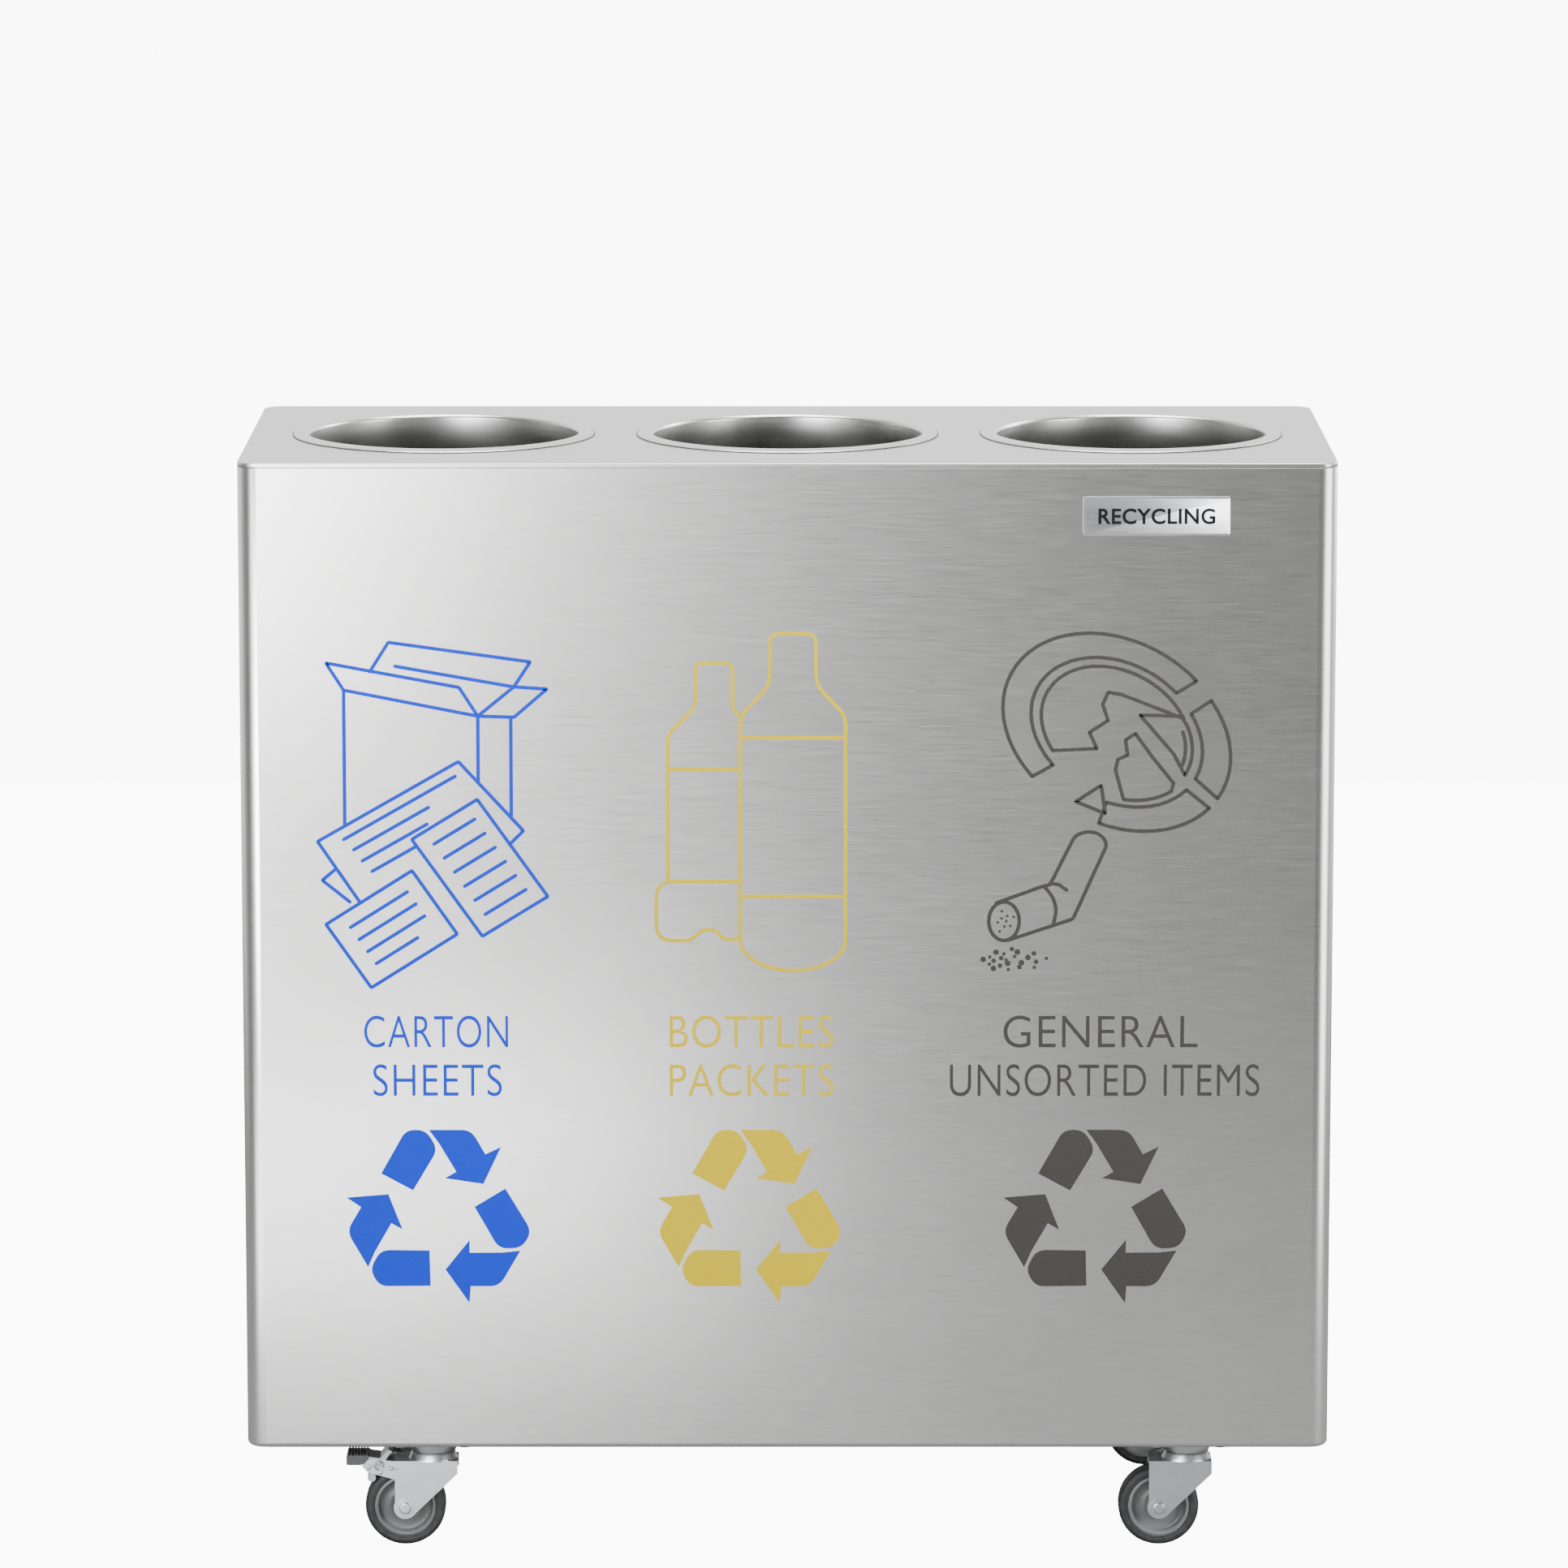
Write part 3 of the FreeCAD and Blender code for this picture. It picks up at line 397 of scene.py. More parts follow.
class Pen:
    """Draws flat printed marks on the front panel, in millimetres from its centre line and the floor."""

    def __init__(self):
        self.bm = bmesh.new()
        self.face_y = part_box("body_shell")[0].y
        self.count = 0

    def raise_faces(self, faces):
        """Gives new flat faces the thickness of the ink."""
        self.count += 1
        lift = sizes().ink + sizes().ink_step * (self.count % 12)
        moved = bmesh.ops.extrude_face_region(self.bm, geom=faces)["geom"]
        verts = [v for v in moved if isinstance(v, bmesh.types.BMVert)]
        bmesh.ops.translate(self.bm, verts=verts, vec=(0, -lift, 0))

    def corner(self, point):
        return self.bm.verts.new((point[0] * MM, self.face_y + 0.00002, point[1] * MM))

    def fill(self, points):
        """A solid shape."""
        self.raise_faces([self.bm.faces.new([self.corner(p) for p in points])])

    def dot(self, centre, radius):
        turns = [math.tau * k / 14 for k in range(14)]
        self.fill([(centre[0] + radius * math.cos(t), centre[1] + radius * math.sin(t)) for t in turns])

    def line(self, points, closed=False, bend=1.2):
        """A line of even width with round ends and slightly rounded corners."""
        half = sizes().line_width / 2 / MM
        pts = rounded_path(points, bend, closed)
        count = len(pts)
        sides = []
        for i, here in enumerate(pts):
            before = pts[i - 1] if closed or i else None
            after = pts[(i + 1) % count] if closed or i < count - 1 else None
            runs = [(here - before).normalized()] if before is not None else []
            runs += [(after - here).normalized()] if after is not None else []
            normals = [Vector((-r.y, r.x)) for r in runs]
            if len(normals) == 1:
                out = normals[0]
            else:
                out = (normals[0] + normals[1]) / max(0.35, 1 + normals[0].dot(normals[1]))
            sides.append((self.corner(here + out * half), self.corner(here - out * half)))
        faces = []
        pairs = list(zip(sides, sides[1:] + sides[:1]))
        for (a, b), (c, d) in pairs if closed else pairs[:-1]:
            faces.append(self.bm.faces.new((a, b, d, c)))
        if not closed:
            ends = ((pts[0], pts[0] - pts[1], sides[0]), (pts[-1], pts[-1] - pts[-2], sides[-1]))
            for tip, out, pair in ends:
                out = out.normalized()
                across = Vector((-out.y, out.x))
                left = max(pair, key=lambda v: Vector((v.co.x, v.co.z)).dot(across))
                right = pair[0] if left is pair[1] else pair[1]
                arc = []
                for k in range(1, 6):
                    t = math.pi * k / 6
                    arc.append(self.corner(tip + (across * math.cos(t) + out * math.sin(t)) * half))
                faces.append(self.bm.faces.new([left, *arc, right]))
        self.raise_faces(faces)

    def word(self, text, centre, low, width, height=None, weight=-0.006):
        """One line of plain capitals, centre at x and standing on low."""
        curve = bpy.data.curves.new("word", "FONT")
        curve.body = text
        curve.offset = weight
        curve.space_character = 1.06
        holder = bpy.data.objects.new("word", curve)
        bpy.context.scene.collection.objects.link(holder)
        bpy.context.view_layer.update()
        depsgraph = bpy.context.evaluated_depsgraph_get()
        mesh = bpy.data.meshes.new_from_object(holder.evaluated_get(depsgraph))
        bpy.data.objects.remove(holder)
        xs, ys = [v.co.x for v in mesh.vertices], [v.co.y for v in mesh.vertices]
        wide = width * MM / (max(xs) - min(xs))
        tall = (height or sizes().letter) / (max(ys) - min(ys))
        for v in mesh.vertices:
            x = centre * MM + (v.co.x - (min(xs) + max(xs)) / 2) * wide
            v.co = (x, self.face_y + 0.00002, low * MM + (v.co.y - min(ys)) * tall)
        known = set(self.bm.faces)
        self.bm.from_mesh(mesh)
        bpy.data.meshes.remove(mesh)
        fresh_faces = [f for f in self.bm.faces if f not in known]
        bmesh.ops.remove_doubles(self.bm, verts=list({v for f in fresh_faces for v in f.verts}), dist=1e-6)
        self.raise_faces([f for f in self.bm.faces if f not in known])

    def lift_off(self, name, finish):
        return add_piece(name, self.bm, "cabinet", finish, smooth=25.0)


# ---- Printed graphics ----------------------------------------------------
def ruled_sheet(pen, corner, along, down, rules, outline=True):
    """A sheet of paper as a parallelogram with lines of writing on it."""
    corner, along, down = Vector(corner), Vector(along), Vector(down)
    if outline:
        pen.line([corner, corner + along, corner + along + down, corner + down], closed=True)
    for start, end, at in rules:
        pen.line([corner + along * start + down * at, corner + along * end + down * at])


def draw_carton_and_sheets(pen):
    """An open carton with sheets of paper spilling out in front of it."""
    a, b, c = Vector((-404, 816)), Vector((-282, 792)), Vector((-249, 819))
    front_flap, side_flap = Vector((-16, 25)), Vector((30, -2))
    pen.line([a + Vector((0, -125)), a, b, b + Vector((0, -61))])
    pen.line([a, a + front_flap, b + front_flap * 1.06, b, c])
    pen.line([b, b + Vector((33, -1)), c + side_flap, c])
    pen.line([b + Vector((30, -1)), b + Vector((30, -92))])
    pen.line([(-380, 833), (-363, 860), (-234, 842), c])
    pen.line([(-357, 838), c])
    ruled_sheet(
        pen, (-429, 676), (129, 74), (60, -64),
        [(0.13, 0.92, 0.12), (0.13, 0.66, 0.27), (0.12, 0.58, 0.42), (0.12, 0.42, 0.57)], outline=False,
    )
    pen.line([(-391, 620), (-429, 676), (-300, 750), (-241, 686), (-252, 675)])
    pen.line([(-412, 651), (-425, 640), (-400, 620)])
    rules = [(0.2, 0.82, 0.13 + 0.145 * k) for k in range(6)]
    ruled_sheet(pen, (-343, 678), (60, 37), (64, -90), rules)
    rules = [(0.18, 0.84 if k < 3 else 0.66, 0.2 + 0.19 * k) for k in range(4)]
    ruled_sheet(pen, (-422, 599), (79, 50), (41, -59), rules)


def draw_bottles(pen):
    """A large bottle standing in front of a smaller one."""
    x, half, neck = 5.0, 48.0, 21.0
    turns = [-math.pi * k / 20 for k in range(1, 20)]
    foot = [(x + half * math.cos(t), 584 + 28 * math.sin(t)) for t in turns]
    outline = [(x - half, 584), (x - half, 792), (x - neck, 821), (x - neck, 868)]
    outline += [(x + neck, 868), (x + neck, 821), (x + half, 792), (x + half, 584)]
    pen.line(rounded_path(outline, 9) + foot, closed=True, bend=0.5)
    for z in (772, 625):
        pen.line([(x - half, z), (x + half, z)])
    small = [(x - half, 792), (-50, 799), (-50, 841), (-84, 841), (-84, 800), (-109, 775), (-109, 639)]
    pen.line(rounded_path(small, 7))
    pen.line([(-109, 743), (x - half, 743)])
    label = [(x - half, 639), (-120, 639), (-120, 584), (-88, 584)]
    label += [(-78, 594), (-66, 594), (-57, 584), (x - half, 586)]
    pen.line(rounded_path(label, 16))


def draw_broken_plate(pen):
    """A plate in five pieces."""
    centre, wide, tall, tilt = Vector((301, 775)), 109.0, 82.0, math.radians(-30)

    def at(share, degrees, shift=(0, 0)):
        t = math.radians(degrees)
        flat = Vector((wide * share * math.cos(t), tall * share * math.sin(t)))
        turned = Matrix.Rotation(tilt, 2) @ flat
        return centre + turned + Vector(shift)

    def arc(share, first, last, shift=(0, 0)):
        steps = max(4, round(abs(last - first) / 6))
        return [at(share, first + (last - first) * k / steps, shift) for k in range(steps + 1)]

    away = (-2, 4)
    pen.line(arc(1.0, 68, 246, away) + arc(0.75, 246, 68, away), closed=True, bend=0.6)
    well = arc(0.66, 48, 236, away)
    crack = [(282, 762), (275, 777), (292, 788), (287, 803), (292, 814), (304, 812)]
    pen.line(well + crack, closed=True, bend=0.6)
    pen.line(arc(1.0, 58, -4) + arc(0.75, 0, 54), closed=True, bend=0.6)
    pen.line(arc(1.0, -12, -76) + arc(0.75, -74, -12), closed=True, bend=0.6)
    wedge = [(321, 793), (358, 792), *arc(0.66, 46, -2), (352, 757), (334, 778)]
    pen.line(wedge, closed=True, bend=0.6)
    pen.line(
        [
            (317, 776), (332, 755), (352, 730), *arc(0.68, -22, -62),
            (299, 742), (301, 752), (310, 756), (308, 770),
        ],
        closed=True, bend=0.6,
    )
    pen.line(arc(0.6, 40, 4), bend=0.6)
    pen.line([(263, 713), (286, 728), (290, 702)], closed=True, bend=0.6)


def draw_stub(pen):
    """A bent cigarette end with ash falling from it."""
    bend = [math.radians(150 - 20 * k) for k in range(9)]
    tip = [(275 + 16 * math.cos(t), 673 + 12 * math.sin(t)) for t in bend]
    pen.line([(240, 636), *tip, (261, 604), (201, 584)], bend=3)
    pen.line([(240, 637), (248, 636), (255, 631)])
    pen.line([(191, 619), (232, 634), (240, 636)])
    pen.line([(235, 634), (243, 624), (246, 612), (243, 598)], bend=6)
    end = Vector((198, 602))
    turns = [math.tau * k / 24 for k in range(24)]
    burnt = [(end.x + 14 * math.cos(t), end.y + 18 * math.sin(t)) for t in turns]
    pen.line(burnt, closed=True, bend=0.5)
    for k in range(9):
        t = 2.4 * k
        r = 2.6 + 1.15 * k
        pen.dot((end.x + r * 0.8 * math.cos(t), end.y + r * math.sin(t)), 1.3)
    for k in range(22):
        t = 2.4 * k
        r = 3.1 * math.sqrt(k)
        pen.dot((200 + 2.1 * r * math.cos(t) + 0.35 * k, 566 + 0.75 * r * math.sin(t)), 1.7 + 0.5 * (k % 3))


def draw_loop(pen, x, z):
    """The universal recycling loop: three straps, each followed by a folded arrow."""
    centre = Vector((x, z))
    strap = rounded_path([(-53, 40), (-23.7, 24), (-0.5, 63), (-12, 81), (-30, 81)], 9, closed=True)
    strap = [Vector((-53, 40)), Vector((-23.7, 24)), *strap[12:]]
    arrow = [(-9, 81), *rounded_path([(10, 81), (30, 81), (43, 58)], 12)[1:], (57.5, 65), (41, 30)]
    arrow += [(5.5, 35.5), (16, 41.5), (0.5, 68)]
    for turn in (0, -120, -240):
        spin = Matrix.Rotation(math.radians(turn), 2)
        for shape in (strap, arrow):
            pen.fill([centre + spin @ Vector(p) for p in shape])


# Stream, ink, pictures, then each word with its middle and width, and the loop's middle
GRAPHICS = (
    ("left", "blue", (draw_carton_and_sheets,), ("CARTON", -322, 132), ("SHEETS", -321, 118), -320.5),
    ("middle", "yellow", (draw_bottles,), ("BOTTLES", -33, 150), ("PACKETS", -33, 150), -34.5),
    (
        "right", "grey", (draw_broken_plate, draw_stub),
        ("GENERAL", 287, 178), ("UNSORTED ITEMS", 291, 284), 283.5,
    ),
)


# ---- Pieces --------------------------------------------------------------
def build_graphics():
    for stream, ink, drawings, first, second, loop_x in GRAPHICS:
        pen = Pen()
        for draw in drawings:
            draw(pen)
        pen.lift_off(f"print_picture_{stream}", ink)
        pen = Pen()
        pen.word(first[0], first[1], 484, first[2])
        pen.word(second[0], second[1], 438.5, second[2])
        pen.lift_off(f"print_words_{stream}", ink)
        pen = Pen()
        draw_loop(pen, loop_x, 326)
        pen.lift_off(f"print_loop_{stream}", ink)


def build_collars():
    """Chute collars: domed flange, rolled mouth lip, plain tube with a rolled foot, and a thin dark ring
    under the flange as painted shadow.
    """
    for k in (1, 2, 3):
        low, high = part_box(f"chute_collar_{k}")
        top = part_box("top_panel")[1].z
        centre = Vector(((low.x + high.x) / 2, (low.y + high.y) / 2, top))
        flange = (high.x - low.x) / 2
        rise = high.z - top
        bore = flange - 0.015
        mouth, edge = 0.0045, 0.0012
        profile = [(flange - 0.0004, 0.0), (flange, 0.0005), (flange - 0.0003, edge)]
        for j in range(1, 6):
            t = j / 6
            dome = edge + (rise - edge) * math.sin(t * math.pi / 2)
            profile.append((flange - (flange - bore - mouth) * t, dome))
        for j in range(9):
            t = math.pi / 2 * j / 8
            profile.append((bore + mouth - mouth * math.sin(t), rise - mouth + mouth * math.cos(t)))
        foot = low.z - top
        profile += [(bore, foot + 0.0005), (bore + 0.0005, foot)]
        profile += [(bore + 0.0015, foot + 0.0003), (bore + 0.0015, -0.0001)]
        bm = bmesh.new()
        revolve(bm, profile, centre, (0, 0, 1), 144)
        made = add_piece(f"collar_{STREAMS[k - 1]}", bm, "cabinet", "spun", 50.0)
        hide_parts(f"chute_collar_{k}")
        # Painted shadow: a thin dark rubber ring just under the flange's edge stands in for the shadow line
        # there.
        bm = bmesh.new()
        dark_ring = [(flange - 0.004, -0.0001), (flange + 0.0008, -0.0001), (flange + 0.0008, 0.0008)]
        dark_ring += [(flange - 0.0002, 0.0009), (flange - 0.004, 0.0009)]
        revolve(bm, dark_ring, centre, (0, 0, 1), 144)
        add_piece(f"shadow_ring_{STREAMS[k - 1]}", bm, "cabinet", "buffer")


def build_nameplate():
    """Nameplate: rounded corners, a raised border and a plain word on it."""
    low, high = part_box("nameplate")
    bm = bmesh.new()
    bmesh.ops.create_cube(bm, size=1.0, matrix=Matrix.LocRotScale((low + high) / 2, None, high - low))
    posts = [e for e in bm.edges if abs(e.verts[0].co.y - e.verts[1].co.y) > 0.0005]
    bmesh.ops.bevel(bm, geom=posts, offset=0.0025, segments=6, profile=0.5, affect="EDGES")
    face = min(bm.faces, key=lambda f: f.calc_center_median().y)
    bmesh.ops.inset_region(bm, faces=[face], thickness=0.0012, depth=0.0)
    bmesh.ops.inset_region(bm, faces=[face], thickness=0.0006, depth=-0.00035)
    made = add_piece("nameplate_cover", bm, "cabinet", "plate")
    soften(made, 0.0002, 2, 40.0)
    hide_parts("nameplate")
    pen = Pen()
    pen.face_y = low.y + 0.00033
    pen.word("RECYCLING", (low.x + high.x) / 2 / MM, 968.5, 106, 0.0145, 0.022)
    pen.lift_off("print_nameplate", "black")


def wheel_centre(name):
    low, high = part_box(f"tyre_{name}")
    return (low + high) / 2


def build_wheels():
    """Castor wheels: tyre with rounded shoulders and moulding lines, dished centre and hub."""
    for name in CASTORS:
        centre = wheel_centre(name)
        low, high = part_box(f"tyre_{name}")
        radius, half = (high.z - low.z) / 2, (high.y - low.y) / 2
        seat, shoulder = 0.02905, 0.0055
        tread = []
        for j in range(9):
            t = math.pi / 2 * j / 8
            out, along = shoulder * math.sin(t), shoulder * math.cos(t)
            tread.append((radius - shoulder + out, half - shoulder + along))
        groove = ((0.0, 0.0006), (0.0006, 0.0), (0.0015, 0.0), (0.0018, 0.0003), (0.0021, 0.0))
        side = [(seat + out, half - sunk) for out, sunk in groove]
        outer = side + tread + [(radius, 0.0004), (radius - 0.0002, 0.0)]
        profile = outer + [(r, -a) for r, a in reversed(outer[:-1])]
        bm = bmesh.new()
        revolve(bm, profile, centre, (0, 1, 0), 128)
        made = add_piece(f"tread_{name}", bm, f"rolling_{name}", "tyre", 50.0)
        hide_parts(f"tyre_{name}")
        low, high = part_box(f"wheel_{name}")
        hub = (high.y - low.y) / 2
        rim = 0.0115
        outer = [(0.00405, hub - 0.0003), (0.0044, hub), (0.0098, hub)]
        outer += [(0.0105, hub - 0.0007), (0.0109, hub - 0.002)]
        outer += [(0.0125, 0.0075), (0.0132, 0.0062), (0.0150, 0.0050), (0.0225, 0.0046), (0.0240, 0.0054)]
        outer += [(0.0246, 0.0068), (0.0252, rim - 0.0009), (0.0259, rim)]
        outer += [(0.0284, rim), (0.029, rim - 0.0006)]
        profile = outer + [(r, -a) for r, a in reversed(outer)]
        bm = bmesh.new()
        revolve(bm, profile, centre, (0, 1, 0), 128)
        made = add_piece(f"centre_{name}", bm, f"rolling_{name}", "rim", 50.0)
        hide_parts(f"wheel_{name}")


def build_castor_trim():
    """Dark dust seals in the swivel gaps, washers round the axles, rivets on the braked forks."""
    for name in CASTORS:
        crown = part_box(f"fork_{name}")[1].z
        centre = wheel_centre(name)
        pivot = Vector((centre.x + CASTOR_TRAIL, centre.y, 0.0))
        bm = bmesh.new()
        under, over = crown + 0.00005, crown + 0.00075
        dark_ring = [(0.0075, under), (0.0203, under), (0.0203, over), (0.0075, over)]
        revolve(bm, dark_ring, pivot, (0, 0, 1), 64)
        add_piece(f"dust_seal_{name}", bm, "cabinet", "buffer")
        bm = bmesh.new()
        for side in (-1, 1):
            face = centre + Vector((0, side * FORK_HALF, 0))
            ring = [(0.0057, 0.0), (0.0083, 0.0), (0.0085, 0.0002), (0.0083, 0.0008), (0.0057, 0.0009)]
            revolve(bm, ring, face, (0, side, 0), 48)
        add_piece(f"washers_{name}", bm, f"castor_{name}", "zinc", 40.0)
        if name in BRAKED:
            bm = bmesh.new()
            for side in (-1, 1):
                for dx, dz in RIVETS:
                    spot = centre + Vector((dx, side * FORK_HALF, dz))
                    dome = [(0.0, -0.0002), (0.0019, -0.0002), (0.0019, 0.0004)]
                    dome += [(0.0013, 0.0009), (0.0, 0.0011)]
                    revolve(bm, dome, spot, (0, side, 0), 20)
            add_piece(f"rivets_{name}", bm, f"castor_{name}", "zinc", 60.0)


def build_brakes():
    """Ribbed pads on the pedals, and the wire springs that lift them."""
    for name in BRAKED:
        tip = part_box(f"brake_pedal_{name}")[0].x
        centre = wheel_centre(name)
        x0, x1 = tip - 0.0007, tip + 0.0205
        base, crest, half = 0.0775, 0.0872, 0.0155
        ribs, rib = 7, 0.0008
        step = (x1 - x0 - 0.002) / ribs
        outline = [(x0, base + 0.001), (x0, crest - 0.0012)]
        for k in range(ribs):
            x = x0 + 0.001 + step * k
            shape = ((0.0, -rib), (0.2, rib), (0.6, rib), (0.8, -rib))
            outline += [(x + share * step, crest + rise) for share, rise in shape]
        outline += [(x1, crest - 0.001), (x1, base), (x0 + 0.001, base)]
        bm = bmesh.new()
        face = bm.faces.new([bm.verts.new((x, centre.y - half, z)) for x, z in outline])
        moved = bmesh.ops.extrude_face_region(bm, geom=[face])["geom"]
        verts = [v for v in moved if isinstance(v, bmesh.types.BMVert)]
        bmesh.ops.translate(bm, verts=verts, vec=(0, 2 * half, 0))
        made = add_piece(f"brake_pad_{name}", bm, f"pedal_{name}", "pad", 25.0)
        soften(made, 0.00025, 2, 30.0)
        pivot = Vector((centre.x - 0.024, centre.y - 0.0215, centre.z + 0.041))
        path = [pivot + Vector((-0.016, 0.001, 0.001))]
        turns, radius = 3, 0.0042
        for k in range(turns * 12 + 1):
            t = math.tau * k / 12
            across = 0.0012 * k / 12 - 0.0015
            path.append(pivot + Vector((radius * math.cos(t), across, radius * math.sin(t))))
        path.append(pivot + Vector((0.017, 0.003, -0.004)))
        curve = bpy.data.curves.new(f"brake_spring_{name}", "CURVE")
        curve.dimensions = "3D"
        curve.bevel_depth = 0.0005
        curve.bevel_resolution = 3
        spline = curve.splines.new("POLY")
        spline.points.add(len(path) - 1)
        for point, place in zip(spline.points, path):
            point.co = (*place, 1.0)
        curve.materials.append(library()["wire"])
        spring = bpy.data.objects.new(curve.name, curve)
        bpy.context.scene.collection.objects.link(spring)
        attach(spring, f"castor_{name}")


FINISHES = (
    ("top_panel", "top"), ("base_plate", "inner"), ("partition", "inner"), ("collar_rings", "hinge"),
    ("door_inner_pan", "inner"), ("door_buffers", "buffer"), ("door_hinge", "hinge"), ("hinge_", "hinge"),
    ("latch_knob", "knob"), ("latch_", "hinge"), ("bag_rings", "wire"), ("bin_bail", "wire"), ("bin_", "bin"),
    ("castor_", "zinc"), ("king_pins", "zinc"), ("fork_", "zinc"), ("axle_", "zinc"),
    ("brake_pedal", "pedal"),
)
EDGES = {"bin_": 0.0008, "latch_knob": 0.0012, "fork_": 0.0005, "castor_bolts": 0.0005, "top_panel": 0.0003}


def dress_frame():
    """Finishes and softened edges for the CAD nodes that are shown as they are."""
    for node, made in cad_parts.items():
        if made.hide_render:
            continue
        finish = next((f for start, f in FINISHES if node.startswith(start)), "sheet")
        made.data.materials.clear()
        made.data.materials.append(library()[finish])
        width = next((w for start, w in EDGES.items() if node.startswith(start)), sizes().edge)
        soften(made, width)


# ---- Stage ---------------------------------------------------------------
# Name, place, target, size, watts, and the kinds of ray that don't see the light
LIGHTS = (
    ("glow", (-1.05, -2.3, 0.98), (-0.45, -0.22, 0.9), (0.9, 0.9), 66.0, ("diffuse",)),
    ("key", (-1.7, -2.1, 1.35), (-0.35, -0.22, 0.8), (1.2, 1.2), 18.0, ()),
    ("low_glow", (-0.8, -1.3, 0.12), (-0.42, -0.22, 0.12), (1.4, 0.2), 7.5, ("diffuse", "camera")),
    ("strip", (2.4, -1.3, 1.0), (0.5, -0.2, 0.6), (1.1, 2.0), 50.0, ()),
    ("rim", (2.2, 1.4, 1.8), (0.3, 0.0, 0.6), (1.0, 1.6), 40.0, ()),
    ("overhead", (0.2, -1.6, 3.4), (0.1, -0.2, 0.5), (2.4, 1.2), 240.0, ("glossy",)),
    ("ceiling", (0.0, -0.5, 3.2), (0.0, 0.0, 0.9), (2.4, 1.6), 160.0, ()),
)


def add_area(name, place, target, size, power):
    light = bpy.data.lights.new(name, "AREA")
    light.shape = "RECTANGLE"
    light.size, light.size_y = size
    light.energy = power
    made = bpy.data.objects.new(name, light)
    bpy.context.scene.collection.objects.link(made)
    made.location = place
    made.rotation_euler = (Vector(target) - Vector(place)).to_track_quat("-Z", "Y").to_euler()
    return made


def lit_for_camera(tree, shader, strength):
    """Mixes in plain white light that only the camera's own rays see."""
    path = add_node(tree, "ShaderNodeLightPath")
    white = add_node(tree, "ShaderNodeEmission", {"Strength": strength})
    return add_node(
        tree, "ShaderNodeMixShader", {0: path.outputs["Is Camera Ray"], 1: shader, 2: white.outputs[0]}
    ).outputs[0]


def set_world():
    """Even studio surround, brighter behind the object than in front of it."""
    world = bpy.data.worlds.new("studio")
    world.use_nodes = True
    tree = world.node_tree
    tree.nodes.clear()
    coords = add_node(tree, "ShaderNodeTexCoord")
    parts = add_node(tree, "ShaderNodeSeparateXYZ", {0: coords.outputs["Generated"]})
    strength = ranged(tree, parts.outputs["Y"], 0.15, 2.3, -0.2, 0.7)
    soft = add_node(tree, "ShaderNodeBackground", {"Strength": strength})
    white = add_node(tree, "ShaderNodeBackground", {"Strength": 12.0})
    path = add_node(tree, "ShaderNodeLightPath")
    both = add_node(
        tree, "ShaderNodeMixShader",
        {0: path.outputs["Is Camera Ray"], 1: soft.outputs[0], 2: white.outputs[0]},
    )
    add_node(tree, "ShaderNodeOutputWorld", {0: both.outputs[0]})
    bpy.context.scene.world = world


def set_floor():
    """Plain floor: pale to the camera, dim to the object so that the panel's foot stays even."""
    bm = bmesh.new()
    bmesh.ops.create_grid(bm, x_segments=1, y_segments=1, size=4.0)
    mesh = bpy.data.meshes.new("floor")
    bm.to_mesh(mesh)
    bm.free()
    material, tree, shader = fresh("floor")
    feed(tree, shader, Base_Color=(0.12, 0.12, 0.12, 1.0), Roughness=0.9)
    out = tree.nodes["Material Output"]
    tree.links.new(lit_for_camera(tree, shader.outputs[0], 11.0), out.inputs[0])
    mesh.materials.append(material)
    floor = bpy.data.objects.new("floor", mesh)
    bpy.context.scene.collection.objects.link(floor)


def set_camera():
    """Long lens, a little above the top panel, square on to the front."""
    data = bpy.data.cameras.new("camera")
    data.lens = 182.7
    data.sensor_width = 36.0
    data.shift_x, data.shift_y = -0.0022, -0.047
    data.dof.use_dof = False
    data.clip_end = 100.0
    camera = bpy.data.objects.new("camera", data)
    bpy.context.scene.collection.objects.link(camera)
    tilt, away, aim = math.radians(9.32), 7.47, 0.761
    camera.location = (0.0, -away * math.cos(tilt), aim + away * math.sin(tilt))
    camera.rotation_euler = (math.pi / 2 - tilt, 0.0, 0.0)
    bpy.context.scene.camera = camera


def set_stage():
    set_world()
    set_floor()
    set_camera()
    for name, place, target, size, power, hidden in LIGHTS:
        light = add_area(name, place, target, size, power)
        for kind in hidden:
            setattr(light, f"visible_{kind}", False)


# ---- Operators and panel -------------------------------------------------
class STATION_OT_graphics(bpy.types.Operator):
    """Prints the three columns of graphics."""

    bl_idname = "station.graphics"
    bl_label = "Print graphics"

    def execute(self, context):
        build_graphics()
        return {"FINISHED"}


class STATION_OT_collars(bpy.types.Operator):
    """Builds the chute collars and the thin dark rings that paint the shadow under their flanges."""

    bl_idname = "station.collars"
    bl_label = "Build collars"

    def execute(self, context):
        build_collars()
        return {"FINISHED"}


class STATION_OT_nameplate(bpy.types.Operator):
    """Builds the nameplate."""

    bl_idname = "station.nameplate"
    bl_label = "Build nameplate"

    def execute(self, context):
        build_nameplate()
        return {"FINISHED"}


class STATION_OT_wheels(bpy.types.Operator):
    """Builds the castor wheels and tyres."""

    bl_idname = "station.wheels"
    bl_label = "Build wheels"

    def execute(self, context):
        build_wheels()
        return {"FINISHED"}


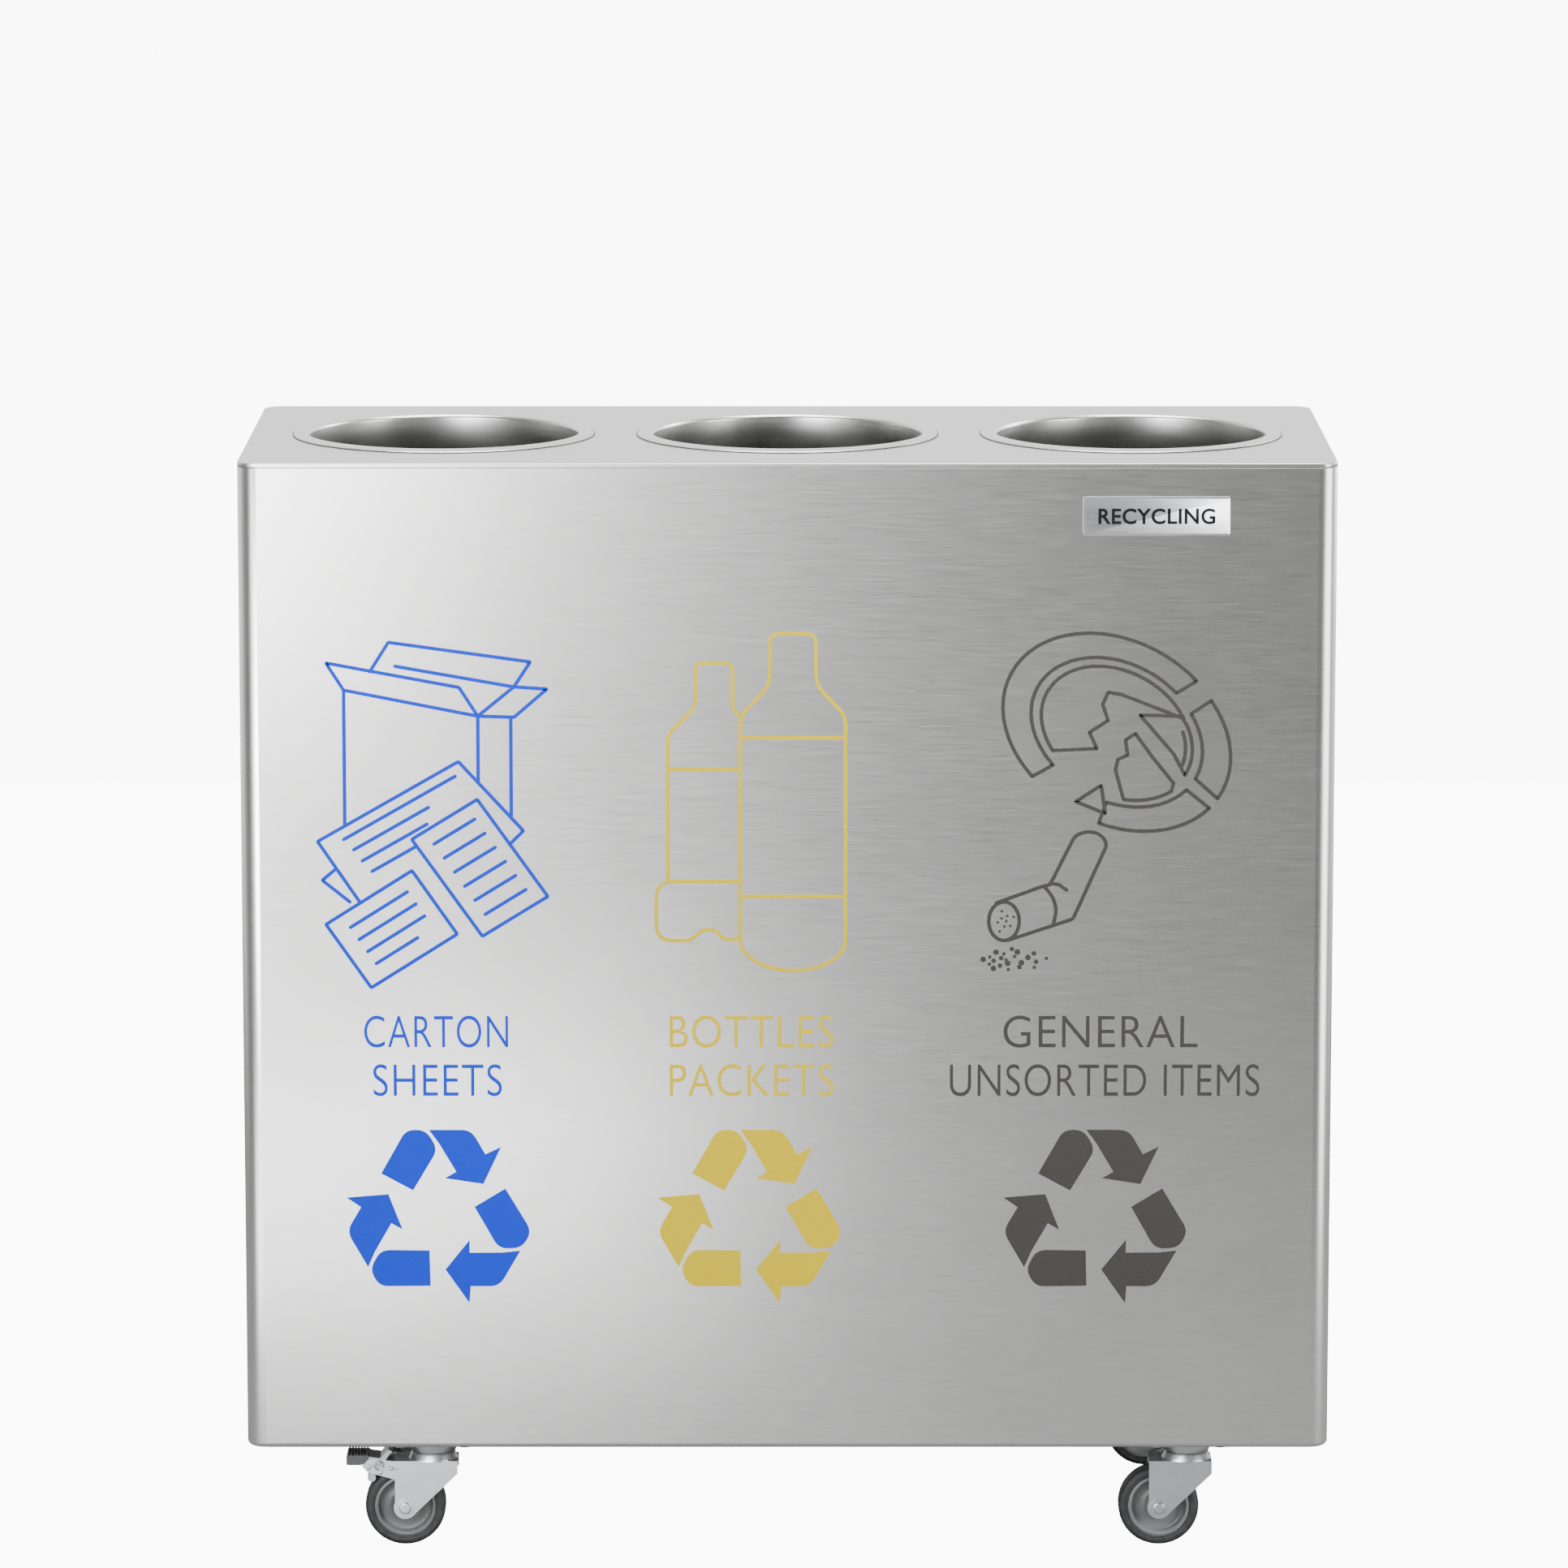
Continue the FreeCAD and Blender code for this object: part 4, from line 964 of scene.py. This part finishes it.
class STATION_OT_castor_trim(bpy.types.Operator):
    """Builds seals, washers and rivets."""

    bl_idname = "station.castor_trim"
    bl_label = "Build castor trim"

    def execute(self, context):
        build_castor_trim()
        return {"FINISHED"}


class STATION_OT_brakes(bpy.types.Operator):
    """Builds the brake pads and springs."""

    bl_idname = "station.brakes"
    bl_label = "Build brakes"

    def execute(self, context):
        build_brakes()
        return {"FINISHED"}


class STATION_OT_dress(bpy.types.Operator):
    """Gives the CAD pieces finishes and soft edges."""

    bl_idname = "station.dress"
    bl_label = "Dress CAD pieces"

    def execute(self, context):
        dress_frame()
        return {"FINISHED"}


class STATION_OT_stage(bpy.types.Operator):
    """Sets the floor, the lights and the camera."""

    bl_idname = "station.stage"
    bl_label = "Set the stage"

    def execute(self, context):
        set_stage()
        return {"FINISHED"}


OPERATORS = (
    STATION_OT_graphics,
    STATION_OT_collars,
    STATION_OT_nameplate,
    STATION_OT_wheels,
    STATION_OT_castor_trim,
    STATION_OT_brakes,
    STATION_OT_dress,
    STATION_OT_stage,
)


class STATION_PT_panel(bpy.types.Panel):
    """Settings and build steps of the station."""

    bl_idname = "STATION_PT_panel"
    bl_label = "Recycling bin station"
    bl_space_type = "VIEW_3D"
    bl_region_type = "UI"
    bl_category = "Station"

    def draw(self, context):
        for group in (context.scene.station_sizes, context.scene.station_colours):
            box = self.layout.box()
            for key in group.__annotations__:
                box.prop(group, key)
        for made in OPERATORS:
            self.layout.operator(made.bl_idname)


CLASSES = [StationSizes, StationColours, *OPERATORS, STATION_PT_panel]


def register():
    for made in CLASSES:
        bpy.utils.register_class(made)
    bpy.types.Scene.station_sizes = bpy.props.PointerProperty(type=StationSizes)
    bpy.types.Scene.station_colours = bpy.props.PointerProperty(type=StationColours)


def unregister():
    del bpy.types.Scene.station_colours
    del bpy.types.Scene.station_sizes
    for made in reversed(CLASSES):
        bpy.utils.unregister_class(made)


def main():
    register()
    for made in OPERATORS:
        group, name = made.bl_idname.split(".")
        getattr(getattr(bpy.ops, group), name)()


if __name__ == "__main__":
    main()
